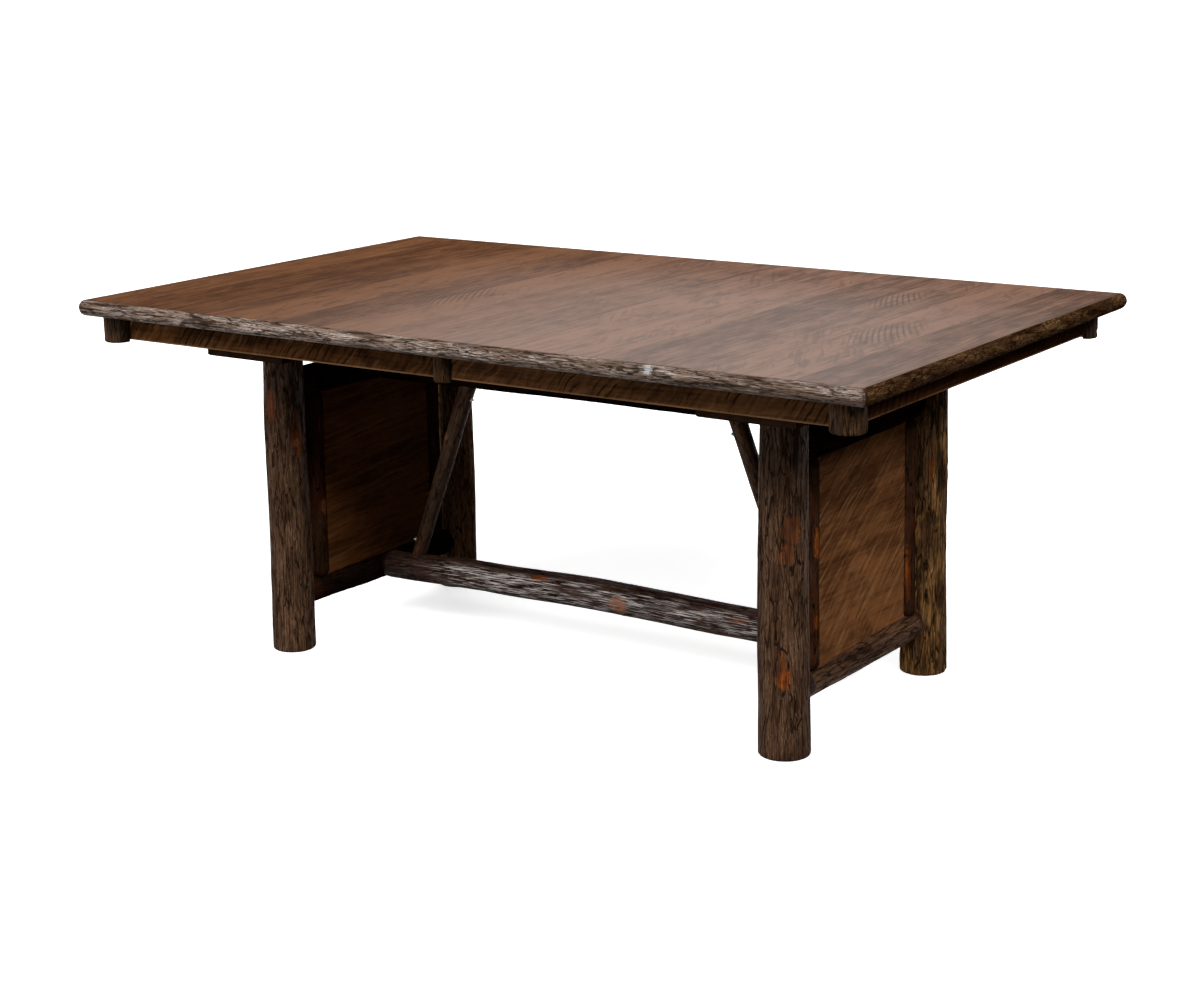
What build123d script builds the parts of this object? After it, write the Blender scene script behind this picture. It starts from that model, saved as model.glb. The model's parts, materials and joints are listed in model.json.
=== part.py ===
from build123d import *
import math
import os

# Rustic hickory trestle table with an extending top.
# Two end frames of bark-covered hickory poles carry a cleat each. Two runners lie across the cleats,
# and the two halves of the board top hang on slides that run along those runners. A pinion in each
# runner meshes with a rack on either side, so both halves draw apart by the same amount.
# Units are millimetres. +X runs along the table to the right, +Y to the back and +Z up.
# The origin lies on the floor under the middle of the top.

LEFT, RIGHT = -1, 1
FRONT, BACK = -1, 1
SIDE_NAMES = {LEFT: "left", RIGHT: "right"}
ROW_NAMES = {FRONT: "front", BACK: "back"}

# ---- overall -------------------------------------------------------------------------------
TABLE_LENGTH = 1819.0
TABLE_WIDTH = 1108.0
TABLE_HEIGHT = 762.0
TOP_THICKNESS = 32.0
EXTENSION = 305.0            # travel of each half of the top
SEAM_GAP = 0.4               # between the two closed halves
SLIDING_GAP = 0.4            # between flat faces that pass each other

# ---- top -----------------------------------------------------------------------------------
BOARDS_PER_HALF = 7
EDGING_DEPTH = 10.0          # how far the bark edging stands out from the boards
APRON_HEIGHT = 50.0
APRON_THICKNESS = 20.0
OVERHANG_END = 62.5          # from the outside of the top to the end apron
OVERHANG_SIDE = 55.0         # from the outside of the top to the front and back aprons
FRONT_LEFT_POST = 31.0       # radius of each corner post, as natural poles differ
FRONT_RIGHT_POST = 32.5
BACK_LEFT_POST = 30.0
BACK_RIGHT_POST = 22.0
MID_POST_RADIUS = 18.75
POST_DROP = 6.0              # posts hang this far below the aprons
DOWEL_COUNT = 5
DOWEL_PITCH = 220.0
DOWEL_RADIUS = 5.0
DOWEL_LENGTH = 44.0
DOWEL_REACH = 14.0           # part of the dowel that stands out of the seam
DOWEL_CLEARANCE = 0.3
DOWEL_END_ROOM = 2.0         # left at the bottom of a dowel's socket
DOWEL_CHAMFER = 1.5

# ---- legs and end frames -------------------------------------------------------------------
LEG_INSET_X = 309.5          # from the end of the top to the middle of a leg
LEG_INSET_Y = 273.0          # from the side of the top to the middle of a leg
FRONT_LEFT_LEG = (45.5, 41.5)     # foot and top radius of each leg, as natural poles differ
FRONT_RIGHT_LEG = (49.0, 44.0)
BACK_LEFT_LEG = (45.0, 42.0)
BACK_RIGHT_LEG = (48.0, 44.0)
LEG_BENDS = (                # share of the height, sway along and across the table, swelling
    (0.4, -2.5, 0.0, 1.0),
    (0.7, 0.0, 2.5, -0.5),
)
FOOT_CHAMFER = 4.0
LOWER_RAIL_HEIGHT = 112.0
LOWER_RAIL_RADII = (27.0, 30.5)   # front end, back end
UPPER_RAIL_DROP = 75.6       # middle of the upper rails below the tops of the legs
UPPER_RAIL_RADIUS = 32.0
RAIL_SWELL = 1.0             # how much thicker a rail is halfway than at its ends
RAIL_SHOULDER = 30.0
RAIL_TENON_RADIUS = 16.0
RAIL_TENON_LENGTH = 46.0
RAIL_SHOULDER_BITE = 6.0     # how deep a rail's shoulder beds into the leg
STILE_INSET = 86.0           # from the middle of a leg to the middle of its stile
STILE_RADIUS = 22.0
STILE_WAIST = 0.8            # how much thinner a stile is halfway
STILE_SHOULDER = 16.0
STILE_TENON_RADIUS = 9.0
STILE_TENON_LENGTH = 22.0
STILE_SHOULDER_BITE = 5.0
PANEL_THICKNESS = 18.0
PANEL_GROOVE = 9.0

# ---- stretchers and braces -----------------------------------------------------------------
LOWER_STRETCHER = (          # share of the half length, rise above the rails and radius
    (-1.0, 11.0, 27.0),
    (-0.5, 19.0, 31.0),
    (0.0, 24.0, 33.5),
    (0.6, 20.0, 33.0),
    (1.0, 15.0, 30.0),
)
UPPER_STRETCHER = (
    (-1.0, 0.0, 28.5),
    (0.0, 1.5, 25.5),
    (1.0, 1.5, 25.0),
)
STRETCHER_SHOULDER = 22.0
STRETCHER_TENON_RADIUS = 13.0
STRETCHER_TENON_LENGTH = 20.0
STRETCHER_SHOULDER_BITE = 8.0
BRACE_INSET = 107.0          # from the middle of the legs to the foot of a brace
BRACE_RUN = 168.0            # along the table from a brace's foot to its head
BRACE_FOOT_RADIUS = 15.0
BRACE_HEAD_RADIUS = 18.0
BRACE_NOSE = 18.0            # from the brace's centre to the upright cut at its head
BRACE_SCREW_GRIP = (24.0, 20.0)   # how far its screws reach into the lower and upper stretcher
BRACE_SCREW_LEAN = (0.5, 0.35)    # slope of those screws off the upright

# ---- cleats and runners --------------------------------------------------------------------
CLEAT_INNER_REACH = 110.0    # from the middle of the legs to each edge of a cleat
CLEAT_OUTER_REACH = 94.0
CLEAT_END_REACH = 121.5      # from the middle of a leg to the cleat's end
CLEAT_THICKNESS = 38.0
CLEAT_CHAMFER = 3.0
SLIDE_SET_INSET = 41.0       # from the middle of the legs to the middle of a runner
SLIDE_END_INSET = 4.0        # from the cleat's outer edge to the ends of runners and slides
SCREWS_PER_SLIDE = 4
FIRST_SCREW_X = 108.0        # from the seam to the nearest screw of a slide
RUNNER_HEIGHT = 48.0
RUNNER_WIDTH = 28.0
SLIDE_WIDTH = 32.0
SLIDE_SIDE_GAP = 0.5         # between runner and slide
HEIGHT_CLEARANCE = 1.4       # runner below the top, slides above the cleats
TONGUE_DEPTH = 6.0
TONGUE_ROOT = 20.0           # height of the dovetail where it leaves the runner
TONGUE_FACE = 26.0           # height of the dovetail at its outer face
TONGUE_CLEARANCE = 0.3

# ---- gearing -------------------------------------------------------------------------------
GEAR_MODULE = 3.0
PINION_TEETH = 16
PRESSURE_ANGLE = 20.0
ADDENDUM = 0.8 * GEAR_MODULE
DEDENDUM = 1.0 * GEAR_MODULE
FLANK_PLAY = 0.15            # taken off every tooth flank
GEAR_THICKNESS = 8.0
GEAR_SIDE_PLAY = 0.4
GEAR_TIP_ROOM = 1.0          # beyond the pinion's tips in the runner's slot
PINION_PIN_RADIUS = 4.0
PIN_CLEARANCE = 0.05
RACK_BACK = 4.0              # web behind the rack's teeth
RACK_END_TEETH = 3           # teeth past the pinion at either end of the travel

# ---- locks ---------------------------------------------------------------------------------
LOCK_INSET = 79.0            # from the inside of the side apron to the middle of a lock
LOCK_REACH = 30.0            # pivot and keeper peg lie this far either side of the seam
LOCK_PLATE_LENGTH = 44.0
LOCK_PLATE_WIDTH = 36.0
LOCK_PLATE_THICKNESS = 3.0
LOCK_STUD_RADIUS = 4.0
LOCK_STUD_HEAD = 7.0
LOCK_HEAD_THICKNESS = 2.0
LOCK_PEG_RADIUS = 3.0
LEVER_THICKNESS = 3.0
LEVER_WIDTH = 17.0
LEVER_TAIL = 24.0
LEVER_GRIP = 14.0            # height of the finger tab
LEVER_PLAY = 0.3
HOOK_PLAY = 0.6
HOOK_WALL = 5.0

# ---- screws --------------------------------------------------------------------------------
SCREW_RADIUS = 2.5
SCREW_HEAD_RADIUS = 5.0
SCREW_HEAD_HEIGHT = 3.0
SCREW_LENGTH = 50.0
LAG_RADIUS = 4.0
LAG_HEAD_RADIUS = 7.5
LAG_HEAD_HEIGHT = 5.5
LAG_LENGTH = 90.0
LAG_RECESS = 1.0             # depth of a lag screw's head below the cleat's face

MERGE = 1.0                  # how far the joined shapes of one piece run into each other

# ---- places worked out from the sizes above --------------------------------------------------
HALF_LENGTH = TABLE_LENGTH / 2
HALF_WIDTH = TABLE_WIDTH / 2
BOARD_END_X = HALF_LENGTH - EDGING_DEPTH
BOARD_END_Y = HALF_WIDTH - EDGING_DEPTH
SEAM_X = SEAM_GAP / 2
TOP_UNDERSIDE = TABLE_HEIGHT - TOP_THICKNESS
TOP_SCREW_TIP = TABLE_HEIGHT - TOP_THICKNESS / 4
APRON_X = HALF_LENGTH - OVERHANG_END
APRON_Y = HALF_WIDTH - OVERHANG_SIDE
APRON_BOTTOM = TOP_UNDERSIDE - APRON_HEIGHT
POST_BOTTOM = APRON_BOTTOM - POST_DROP
LOCK_Y = APRON_Y - APRON_THICKNESS - LOCK_INSET
RUNNER_TOP = TOP_UNDERSIDE - HEIGHT_CLEARANCE
CLEAT_TOP = RUNNER_TOP - RUNNER_HEIGHT
SLIDE_BOTTOM = CLEAT_TOP + HEIGHT_CLEARANCE
RUNNER_MIDDLE = (CLEAT_TOP + RUNNER_TOP) / 2
PITCH_RADIUS = GEAR_MODULE * PINION_TEETH / 2
TOOTH_PITCH = math.pi * GEAR_MODULE
LEG_X = HALF_LENGTH - LEG_INSET_X
LEG_Y = HALF_WIDTH - LEG_INSET_Y
LEG_HEIGHT = CLEAT_TOP - CLEAT_THICKNESS
LEG_RADII = {
    (LEFT, FRONT): FRONT_LEFT_LEG,
    (RIGHT, FRONT): FRONT_RIGHT_LEG,
    (LEFT, BACK): BACK_LEFT_LEG,
    (RIGHT, BACK): BACK_RIGHT_LEG,
}
POST_RADII = {
    (LEFT, FRONT): FRONT_LEFT_POST,
    (RIGHT, FRONT): FRONT_RIGHT_POST,
    (LEFT, BACK): BACK_LEFT_POST,
    (RIGHT, BACK): BACK_RIGHT_POST,
}
STILE_Y = LEG_Y - STILE_INSET
BRACE_FOOT_X = LEG_X - BRACE_INSET
BRACE_HEAD_X = BRACE_FOOT_X - BRACE_RUN
CLEAT_INNER_X = LEG_X - CLEAT_INNER_REACH
CLEAT_OUTER_X = LEG_X + CLEAT_OUTER_REACH
CLEAT_LENGTH = 2 * (LEG_Y + CLEAT_END_REACH)
SLIDE_SET_Y = LEG_Y - SLIDE_SET_INSET
SLIDE_LENGTH = 2 * (CLEAT_OUTER_X - SLIDE_END_INSET)
UPPER_RAIL_HEIGHT = LEG_HEIGHT - UPPER_RAIL_DROP
STILE_BOTTOM = LOWER_RAIL_HEIGHT + sum(LOWER_RAIL_RADII) / 2
STILE_TOP = UPPER_RAIL_HEIGHT - UPPER_RAIL_RADIUS


# ---- general shapes --------------------------------------------------------------------------
def block(x_limits, y_limits, z_limits):
    """Box between two limits on each axis."""
    limits = (x_limits, y_limits, z_limits)
    lengths = [abs(high - low) for low, high in limits]
    centre = [(high + low) / 2 for low, high in limits]
    return Pos(*centre) * Box(*lengths)


def pole(direction, across, stations):
    """Natural pole lofted through round sections, each a centre and a radius."""
    sections = [Plane(origin=centre, x_dir=across, z_dir=direction) * Circle(radius)
                for centre, radius in stations]
    return loft(sections, ruled=True)


def shoulder_and_tenon(centre, direction, body_radius, shoulder, tenon_radius, tenon_length):
    """Rounded shoulder and round tenon that end a pole at its centre point."""
    step = body_radius - tenon_radius
    curve = EllipticalCenterArc((tenon_radius, 0), step, shoulder, start_angle=0, arc_size=90)
    outline = curve + Polyline(
        (tenon_radius, shoulder),
        (tenon_radius, shoulder + tenon_length),
        (0, shoulder + tenon_length),
        (0, 0),
        (body_radius, 0),
    )
    turned = revolve(make_face(outline), axis=Axis.Y)
    return Plane(origin=centre, z_dir=direction) * Rot(90, 0, 0) * turned


def screw(tip, direction, radius, length, head_radius, head_height):
    """Screw from its tip back along a direction to its flat head, threads left out."""
    shank = Cylinder(radius, length, align=(Align.CENTER, Align.CENTER, Align.MIN))
    head = Cylinder(head_radius, head_height, align=(Align.CENTER, Align.CENTER, Align.MIN))
    return Plane(origin=tip, z_dir=direction) * (shank + Pos(0, 0, length) * head)


def wood_screw(tip, direction):
    """The table's common wood screw."""
    return screw(tip, direction, SCREW_RADIUS, SCREW_LENGTH, SCREW_HEAD_RADIUS, SCREW_HEAD_HEIGHT)


def cut_all(shape, tools):
    """Shape with every tool taken out of it."""
    for tool in tools:
        shape = shape - tool
    return shape


# ---- legs ------------------------------------------------------------------------------------
def leg(side, row):
    """Pole leg that tapers upwards, its foot edge eased."""
    foot_radius, top_radius = LEG_RADII[(side, row)]
    x, y = side * LEG_X, row * LEG_Y
    middle = (foot_radius + top_radius) / 2
    bends = [((x + side * along, y + row * across, LEG_HEIGHT * share), middle + swelling)
             for share, along, across, swelling in LEG_BENDS]
    stations = [((x, y, 0), foot_radius), *bends, ((x, y, LEG_HEIGHT), top_radius)]
    shape = pole((0, 0, 1), (1, 0, 0), stations)
    foot_edge = shape.edges().sort_by(Axis.Z)[0]
    return chamfer(foot_edge, FOOT_CHAMFER)


def leg_lag_screw(side, row):
    """Lag screw that holds the cleat down on the leg, head sunk into the cleat."""
    head_bottom = CLEAT_TOP - LAG_HEAD_HEIGHT - LAG_RECESS
    tip = (side * LEG_X, row * LEG_Y, head_bottom - LAG_LENGTH)
    return screw(tip, (0, 0, 1), LAG_RADIUS, LAG_LENGTH, LAG_HEAD_RADIUS, LAG_HEAD_HEIGHT)


# ---- end frames ------------------------------------------------------------------------------
def rail_body_end(row, side, height):
    """Distance from the middle of the frame to the start of a rail's shoulder."""
    foot_radius, top_radius = LEG_RADII[(side, row)]
    leg_radius = foot_radius + (top_radius - foot_radius) * height / LEG_HEIGHT
    return LEG_Y - leg_radius - RAIL_SHOULDER + RAIL_SHOULDER_BITE


def rail(side, height, front_radius, back_radius):
    """Pole rail between two legs, with shouldered tenons in both."""
    x = side * LEG_X
    front_y = -rail_body_end(FRONT, side, height)
    back_y = rail_body_end(BACK, side, height)
    middle_radius = (front_radius + back_radius) / 2 + RAIL_SWELL
    body = pole((0, 1, 0), (1, 0, 0), (
        ((x, front_y, height), front_radius),
        ((x, 0, height), middle_radius),
        ((x, back_y, height), back_radius),
    ))
    tenon_size = (RAIL_SHOULDER, RAIL_TENON_RADIUS, RAIL_TENON_LENGTH)
    front_end = shoulder_and_tenon((x, front_y, height), (0, -1, 0), front_radius, *tenon_size)
    back_end = shoulder_and_tenon((x, back_y, height), (0, 1, 0), back_radius, *tenon_size)
    return body + front_end + back_end


def stile(side, row):
    """Pole stile between the rails, tenoned into both."""
    x, y = side * LEG_X, row * STILE_Y
    low = STILE_BOTTOM + STILE_SHOULDER - STILE_SHOULDER_BITE
    high = STILE_TOP - STILE_SHOULDER + STILE_SHOULDER_BITE
    body = pole((0, 0, 1), (1, 0, 0), (
        ((x, y, low), STILE_RADIUS),
        ((x, y, (low + high) / 2), STILE_RADIUS - STILE_WAIST),
        ((x, y, high), STILE_RADIUS),
    ))
    tenon_size = (STILE_SHOULDER, STILE_TENON_RADIUS, STILE_TENON_LENGTH)
    low_end = shoulder_and_tenon((x, y, low), (0, 0, -1), STILE_RADIUS, *tenon_size)
    high_end = shoulder_and_tenon((x, y, high), (0, 0, 1), STILE_RADIUS, *tenon_size)
    return body + low_end + high_end


def end_panel(side):
    """Flat panel that sits in the grooves of the stiles and rails."""
    half_width = STILE_Y - STILE_RADIUS + PANEL_GROOVE
    x_limits = (side * LEG_X - PANEL_THICKNESS / 2, side * LEG_X + PANEL_THICKNESS / 2)
    z_limits = (STILE_BOTTOM - PANEL_GROOVE, STILE_TOP + PANEL_GROOVE)
    return block(x_limits, (-half_width, half_width), z_limits)


def leg_cleat(side):
    """Board across the tops of a pair of legs."""
    half = CLEAT_LENGTH / 2
    board = block((side * CLEAT_INNER_X, side * CLEAT_OUTER_X), (-half, half), (LEG_HEIGHT, CLEAT_TOP))
    return chamfer(board.edges().group_by(Axis.Z)[0], CLEAT_CHAMFER)


# ---- stretchers and braces -------------------------------------------------------------------
def stretcher(stations, rail_height, rail_radius):
    """Pole along the table between the end frames, tenoned into a rail at either end."""
    half_body = LEG_X - rail_radius - STRETCHER_SHOULDER + STRETCHER_SHOULDER_BITE
    points = [((share * half_body, 0, rail_height + rise), radius) for share, rise, radius in stations]
    shape = pole((1, 0, 0), (0, 1, 0), points)
    for side, (centre, radius) in ((LEFT, points[0]), (RIGHT, points[-1])):
        shape += shoulder_and_tenon(centre, (side, 0, 0), radius, STRETCHER_SHOULDER,
                                    STRETCHER_TENON_RADIUS, STRETCHER_TENON_LENGTH)
    return shape


def lower_stretcher():
    """Slightly bowed pole between the lower rails."""
    return stretcher(LOWER_STRETCHER, LOWER_RAIL_HEIGHT, sum(LOWER_RAIL_RADII) / 2)


def upper_stretcher():
    """Pole between the upper rails."""
    return stretcher(UPPER_STRETCHER, UPPER_RAIL_HEIGHT, UPPER_RAIL_RADIUS)


def brace_line(side):
    """Foot point, head point and direction of a brace's centre line."""
    foot = Vector(side * BRACE_FOOT_X, 0, LOWER_RAIL_HEIGHT + LOWER_STRETCHER[0][1])
    head = Vector(side * BRACE_HEAD_X, 0, UPPER_RAIL_HEIGHT)
    return foot, head, (head - foot).normalized()


def brace(side, stretchers):
    """Slanted pole coped onto both stretchers, its head trimmed upright."""
    foot, head, direction = brace_line(side)
    shape = pole(direction, (0, 1, 0), ((foot, BRACE_FOOT_RADIUS), (head, BRACE_HEAD_RADIUS)))
    reach = 2 * BRACE_HEAD_RADIUS
    nose = side * (BRACE_HEAD_X - BRACE_NOSE)
    beyond_nose = nose - side * reach
    trim = block((nose, beyond_nose), (-reach, reach), (foot.Z, TABLE_HEIGHT))
    pieces = cut_all(shape, [trim, *stretchers]).solids()
    return pieces.sort_by(lambda piece: piece.volume)[-1]


def brace_screws(side):
    """Screws driven through the brace's ends into the stretchers."""
    foot, head, direction = brace_line(side)
    _, lower_rise, lower_radius = LOWER_STRETCHER[1]
    _, upper_rise, upper_radius = UPPER_STRETCHER[1]
    low_plane_height = LOWER_RAIL_HEIGHT + lower_rise + lower_radius
    high_plane_height = UPPER_RAIL_HEIGHT + upper_rise - upper_radius
    low_point = foot + (head - foot) * ((low_plane_height - foot.Z) / (head.Z - foot.Z))
    high_point = foot + (head - foot) * ((high_plane_height - foot.Z) / (head.Z - foot.Z))
    low_grip, high_grip = BRACE_SCREW_GRIP
    low_lean, high_lean = BRACE_SCREW_LEAN
    out_of_lower = Vector(side * low_lean, 0, 1).normalized()
    out_of_upper = Vector(-side * high_lean, 0, -1).normalized()
    return [
        wood_screw(low_point - out_of_lower * low_grip, out_of_lower),
        wood_screw(high_point - out_of_upper * high_grip, out_of_upper),
    ]


# ---- runners, slides and gearing -------------------------------------------------------------
def dovetail(row, facing, growth, length):
    """Dovetail bar along a runner's side, grown by a clearance where it cuts a groove."""
    root = RUNNER_WIDTH / 2
    face = root + TONGUE_DEPTH + growth
    flare = (TONGUE_FACE - TONGUE_ROOT) / 2 / TONGUE_DEPTH
    root_half = TONGUE_ROOT / 2 + growth
    start = root - MERGE
    start_half = root_half - flare
    face_half = start_half + flare * (face - start)
    middle_y = row * SLIDE_SET_Y
    section = [(middle_y + facing * offset, RUNNER_MIDDLE + up) for offset, up in (
        (start, -start_half), (face, -face_half), (face, face_half), (start, start_half))]
    outline = make_face(Polyline(*section, close=True))
    bar = Plane.YZ * outline
    return extrude(Pos(-length / 2, 0, 0) * bar, amount=length, dir=(1, 0, 0))


def runner(row):
    """Fixed bar across both cleats, with a dovetail on either side and a slot for the pinion."""
    y = row * SLIDE_SET_Y
    half_length = SLIDE_LENGTH / 2
    half_width = RUNNER_WIDTH / 2
    bar = block((-half_length, half_length), (y - half_width, y + half_width), (CLEAT_TOP, RUNNER_TOP))
    for facing in (FRONT, BACK):
        bar += dovetail(row, facing, 0, SLIDE_LENGTH)
    slot_half = PITCH_RADIUS + ADDENDUM + GEAR_TIP_ROOM
    slot_height = GEAR_THICKNESS / 2 + GEAR_SIDE_PLAY
    slot = block((-slot_half, slot_half), (y - RUNNER_WIDTH, y + RUNNER_WIDTH),
                 (RUNNER_MIDDLE - slot_height, RUNNER_MIDDLE + slot_height))
    return bar - slot - pinion_pin(row)


def pinion_pin(row):
    """Steel pin that the pinion turns on, driven through the runner."""
    height = RUNNER_TOP - CLEAT_TOP
    return Pos(0, row * SLIDE_SET_Y, RUNNER_MIDDLE) * Cylinder(PINION_PIN_RADIUS, height)


def involute_point(base_radius, radius, half_angle_at_pitch):
    """Point of the right-hand flank at a radius, with the tooth's middle on the +X axis."""
    def roll(at_radius):
        return math.sqrt(max((at_radius / base_radius) ** 2 - 1, 0))

    def involute(at_radius):
        return roll(at_radius) - math.atan(roll(at_radius))

    angle = half_angle_at_pitch + involute(PITCH_RADIUS) - involute(radius)
    return Vector(radius * math.cos(angle), radius * math.sin(angle))


def pinion_tooth():
    """One tooth, its flanks arcs through three points of the involute."""
    base_radius = PITCH_RADIUS * math.cos(math.radians(PRESSURE_ANGLE))
    root_radius = PITCH_RADIUS - DEDENDUM
    tip_radius = PITCH_RADIUS + ADDENDUM
    half_angle = (TOOTH_PITCH / 4 - FLANK_PLAY) / PITCH_RADIUS
    base = involute_point(base_radius, base_radius, half_angle)
    middle = involute_point(base_radius, (base_radius + tip_radius) / 2, half_angle)
    tip = involute_point(base_radius, tip_radius, half_angle)
    sunk = base * ((root_radius - MERGE) / base_radius)

    def below(point):
        return Vector(point.X, -point.Y)

    return make_face([
        Line(sunk, base),
        ThreePointArc(base, middle, tip),
        ThreePointArc(tip, Vector(tip_radius, 0), below(tip)),
        ThreePointArc(below(tip), below(middle), below(base)),
        Line(below(base), below(sunk)),
        Line(below(sunk), sunk),
    ])


def pinion(row):
    """Spur pinion with a running bore on its pin."""
    outline = Circle(PITCH_RADIUS - DEDENDUM)
    tooth = pinion_tooth()
    for index in range(PINION_TEETH):
        outline += Rot(0, 0, index * 360 / PINION_TEETH) * tooth
    outline -= Circle(PINION_PIN_RADIUS + PIN_CLEARANCE)
    gear = extrude(outline, amount=GEAR_THICKNESS / 2, both=True)
    return Pos(0, row * SLIDE_SET_Y, RUNNER_MIDDLE) * gear


def rack_span(side):
    """Near and far ends of a rack at rest: it reaches past the pinion over the whole travel."""
    spare = RACK_END_TEETH * TOOTH_PITCH
    near = side * spare
    teeth_over_travel = math.ceil(EXTENSION / TOOTH_PITCH)
    far = -side * (teeth_over_travel * TOOTH_PITCH + spare)
    return near, far


def slide_facing(side):
    """Which side of the runner a half's slide runs on: right half in front, left half behind."""
    return FRONT if side == RIGHT else BACK


def rack(side, row):
    """Toothed strip let into the slide, a tooth space facing the pinion at rest."""
    facing = slide_facing(side)
    near, far = rack_span(side)
    start = min(near, far)
    count = round(abs(far - near) / TOOTH_PITCH)
    slope = math.tan(math.radians(PRESSURE_ANGLE))
    root_half = TOOTH_PITCH / 4 - FLANK_PLAY + DEDENDUM * slope
    tip_half = TOOTH_PITCH / 4 - FLANK_PLAY - ADDENDUM * slope
    root_offset = PITCH_RADIUS + DEDENDUM
    tip_offset = PITCH_RADIUS - ADDENDUM
    back_offset = root_offset + RACK_BACK
    points = [(start, back_offset)]
    for index in range(count):
        middle = start + (index + 0.5) * TOOTH_PITCH
        points += [
            (middle - root_half, root_offset),
            (middle - tip_half, tip_offset),
            (middle + tip_half, tip_offset),
            (middle + root_half, root_offset),
        ]
    points.append((start + count * TOOTH_PITCH, back_offset))
    points.insert(1, (start, root_offset))
    points.insert(-1, (start + count * TOOTH_PITCH, root_offset))
    outline = make_face(Polyline(*[(x, facing * offset) for x, offset in points], close=True))
    strip = extrude(outline, amount=GEAR_THICKNESS / 2, both=True)
    return Pos(0, row * SLIDE_SET_Y, RUNNER_MIDDLE) * strip


def rack_slot(side, row):
    """Space in the slide that the rack sits in and the pinion's teeth reach into."""
    facing = slide_facing(side)
    near, far = rack_span(side)
    y = row * SLIDE_SET_Y
    height = GEAR_THICKNESS / 2
    inner = RUNNER_WIDTH / 2
    outer = PITCH_RADIUS + DEDENDUM + RACK_BACK
    seat = block((near, far), (y + facing * inner, y + facing * outer),
                 (RUNNER_MIDDLE - height, RUNNER_MIDDLE + height))
    room = height + GEAR_SIDE_PLAY
    mouth = block((near, far), (y + facing * inner, y + facing * (PITCH_RADIUS + DEDENDUM)),
                  (RUNNER_MIDDLE - room, RUNNER_MIDDLE + room))
    return seat + mouth


def slide_screw_places(side):
    """Positions along a half's slide of the screws up into the boards."""
    step = ((CLEAT_INNER_X + CLEAT_OUTER_X) / 2 - FIRST_SCREW_X) / (SCREWS_PER_SLIDE - 1)
    return [side * (FIRST_SCREW_X + step * index) for index in range(SCREWS_PER_SLIDE)]


def slide_middle_y(side, row):
    """Middle of a slide across the table."""
    offset = RUNNER_WIDTH / 2 + SLIDE_SIDE_GAP + SLIDE_WIDTH / 2
    return row * SLIDE_SET_Y + slide_facing(side) * (offset + SLIDE_WIDTH / 4)


def slide_screws(side, row):
    """Screws of one slide: up into the boards, and one left standing below it as a stop."""
    y = slide_middle_y(side, row)
    screws = [wood_screw((x, y, TOP_SCREW_TIP), (0, 0, -1)) for x in slide_screw_places(side)]
    stop_x = side * (CLEAT_INNER_X - EXTENSION - SCREW_HEAD_RADIUS - SLIDING_GAP)
    stop_tip = SLIDE_BOTTOM - SCREW_HEAD_HEIGHT + SCREW_LENGTH
    screws.append(wood_screw((stop_x, y, stop_tip), (0, 0, -1)))
    return screws


def slide(side, row):
    """Grooved bar screwed under one half of the top, running beside the runner."""
    facing = slide_facing(side)
    y = row * SLIDE_SET_Y
    inner = y + facing * (RUNNER_WIDTH / 2 + SLIDE_SIDE_GAP)
    outer = inner + facing * SLIDE_WIDTH
    half_length = SLIDE_LENGTH / 2
    bar = block((-half_length, half_length), (inner, outer), (SLIDE_BOTTOM, TOP_UNDERSIDE))
    free_part = block((side * SEAM_X, -side * half_length), (inner, outer),
                      (TOP_UNDERSIDE - SLIDING_GAP, TOP_UNDERSIDE))
    bar = bar - free_part - dovetail(row, facing, TONGUE_CLEARANCE, SLIDE_LENGTH)
    bar = bar - rack_slot(side, row)
    bore_y = slide_middle_y(side, row)
    bore_height = TOP_SCREW_TIP - SCREW_LENGTH - SLIDE_BOTTOM
    for x in slide_screw_places(side):
        bore_middle = (x, bore_y, SLIDE_BOTTOM + bore_height / 2)
        bar -= Pos(*bore_middle) * Cylinder(SCREW_HEAD_RADIUS, bore_height)
    return cut_all(bar, slide_screws(side, row))


def runner_screws(row):
    """Screws up through the cleats into a runner."""
    tip_height = LEG_HEIGHT + SCREW_HEAD_HEIGHT + SCREW_LENGTH
    middle = (CLEAT_INNER_X + CLEAT_OUTER_X) / 2
    spread = (CLEAT_OUTER_X - CLEAT_INNER_X) / 4
    return [wood_screw((side * (middle + step), row * SLIDE_SET_Y, tip_height), (0, 0, -1))
            for side in (LEFT, RIGHT) for step in (-spread, spread)]


# ---- top -------------------------------------------------------------------------------------
def dowel(index):
    """Alignment dowel that stands out of the right half's seam, its tip eased."""
    y = (index - (DOWEL_COUNT - 1) / 2) * DOWEL_PITCH
    height = TABLE_HEIGHT - TOP_THICKNESS / 2
    peg = Plane(origin=(SEAM_X - DOWEL_REACH, y, height), z_dir=(1, 0, 0)) * Cylinder(
        DOWEL_RADIUS, DOWEL_LENGTH, align=(Align.CENTER, Align.CENTER, Align.MIN))
    return chamfer(peg.edges().group_by(Axis.X)[0], DOWEL_CHAMFER)


def dowel_socket(index):
    """Hole in the left half that an alignment dowel enters."""
    y = (index - (DOWEL_COUNT - 1) / 2) * DOWEL_PITCH
    height = TABLE_HEIGHT - TOP_THICKNESS / 2
    depth = DOWEL_REACH + DOWEL_END_ROOM
    return Plane(origin=(-SEAM_X, y, height), z_dir=(-1, 0, 0)) * Cylinder(
        DOWEL_RADIUS + DOWEL_CLEARANCE, depth, align=(Align.CENTER, Align.CENTER, Align.MIN))


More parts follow.
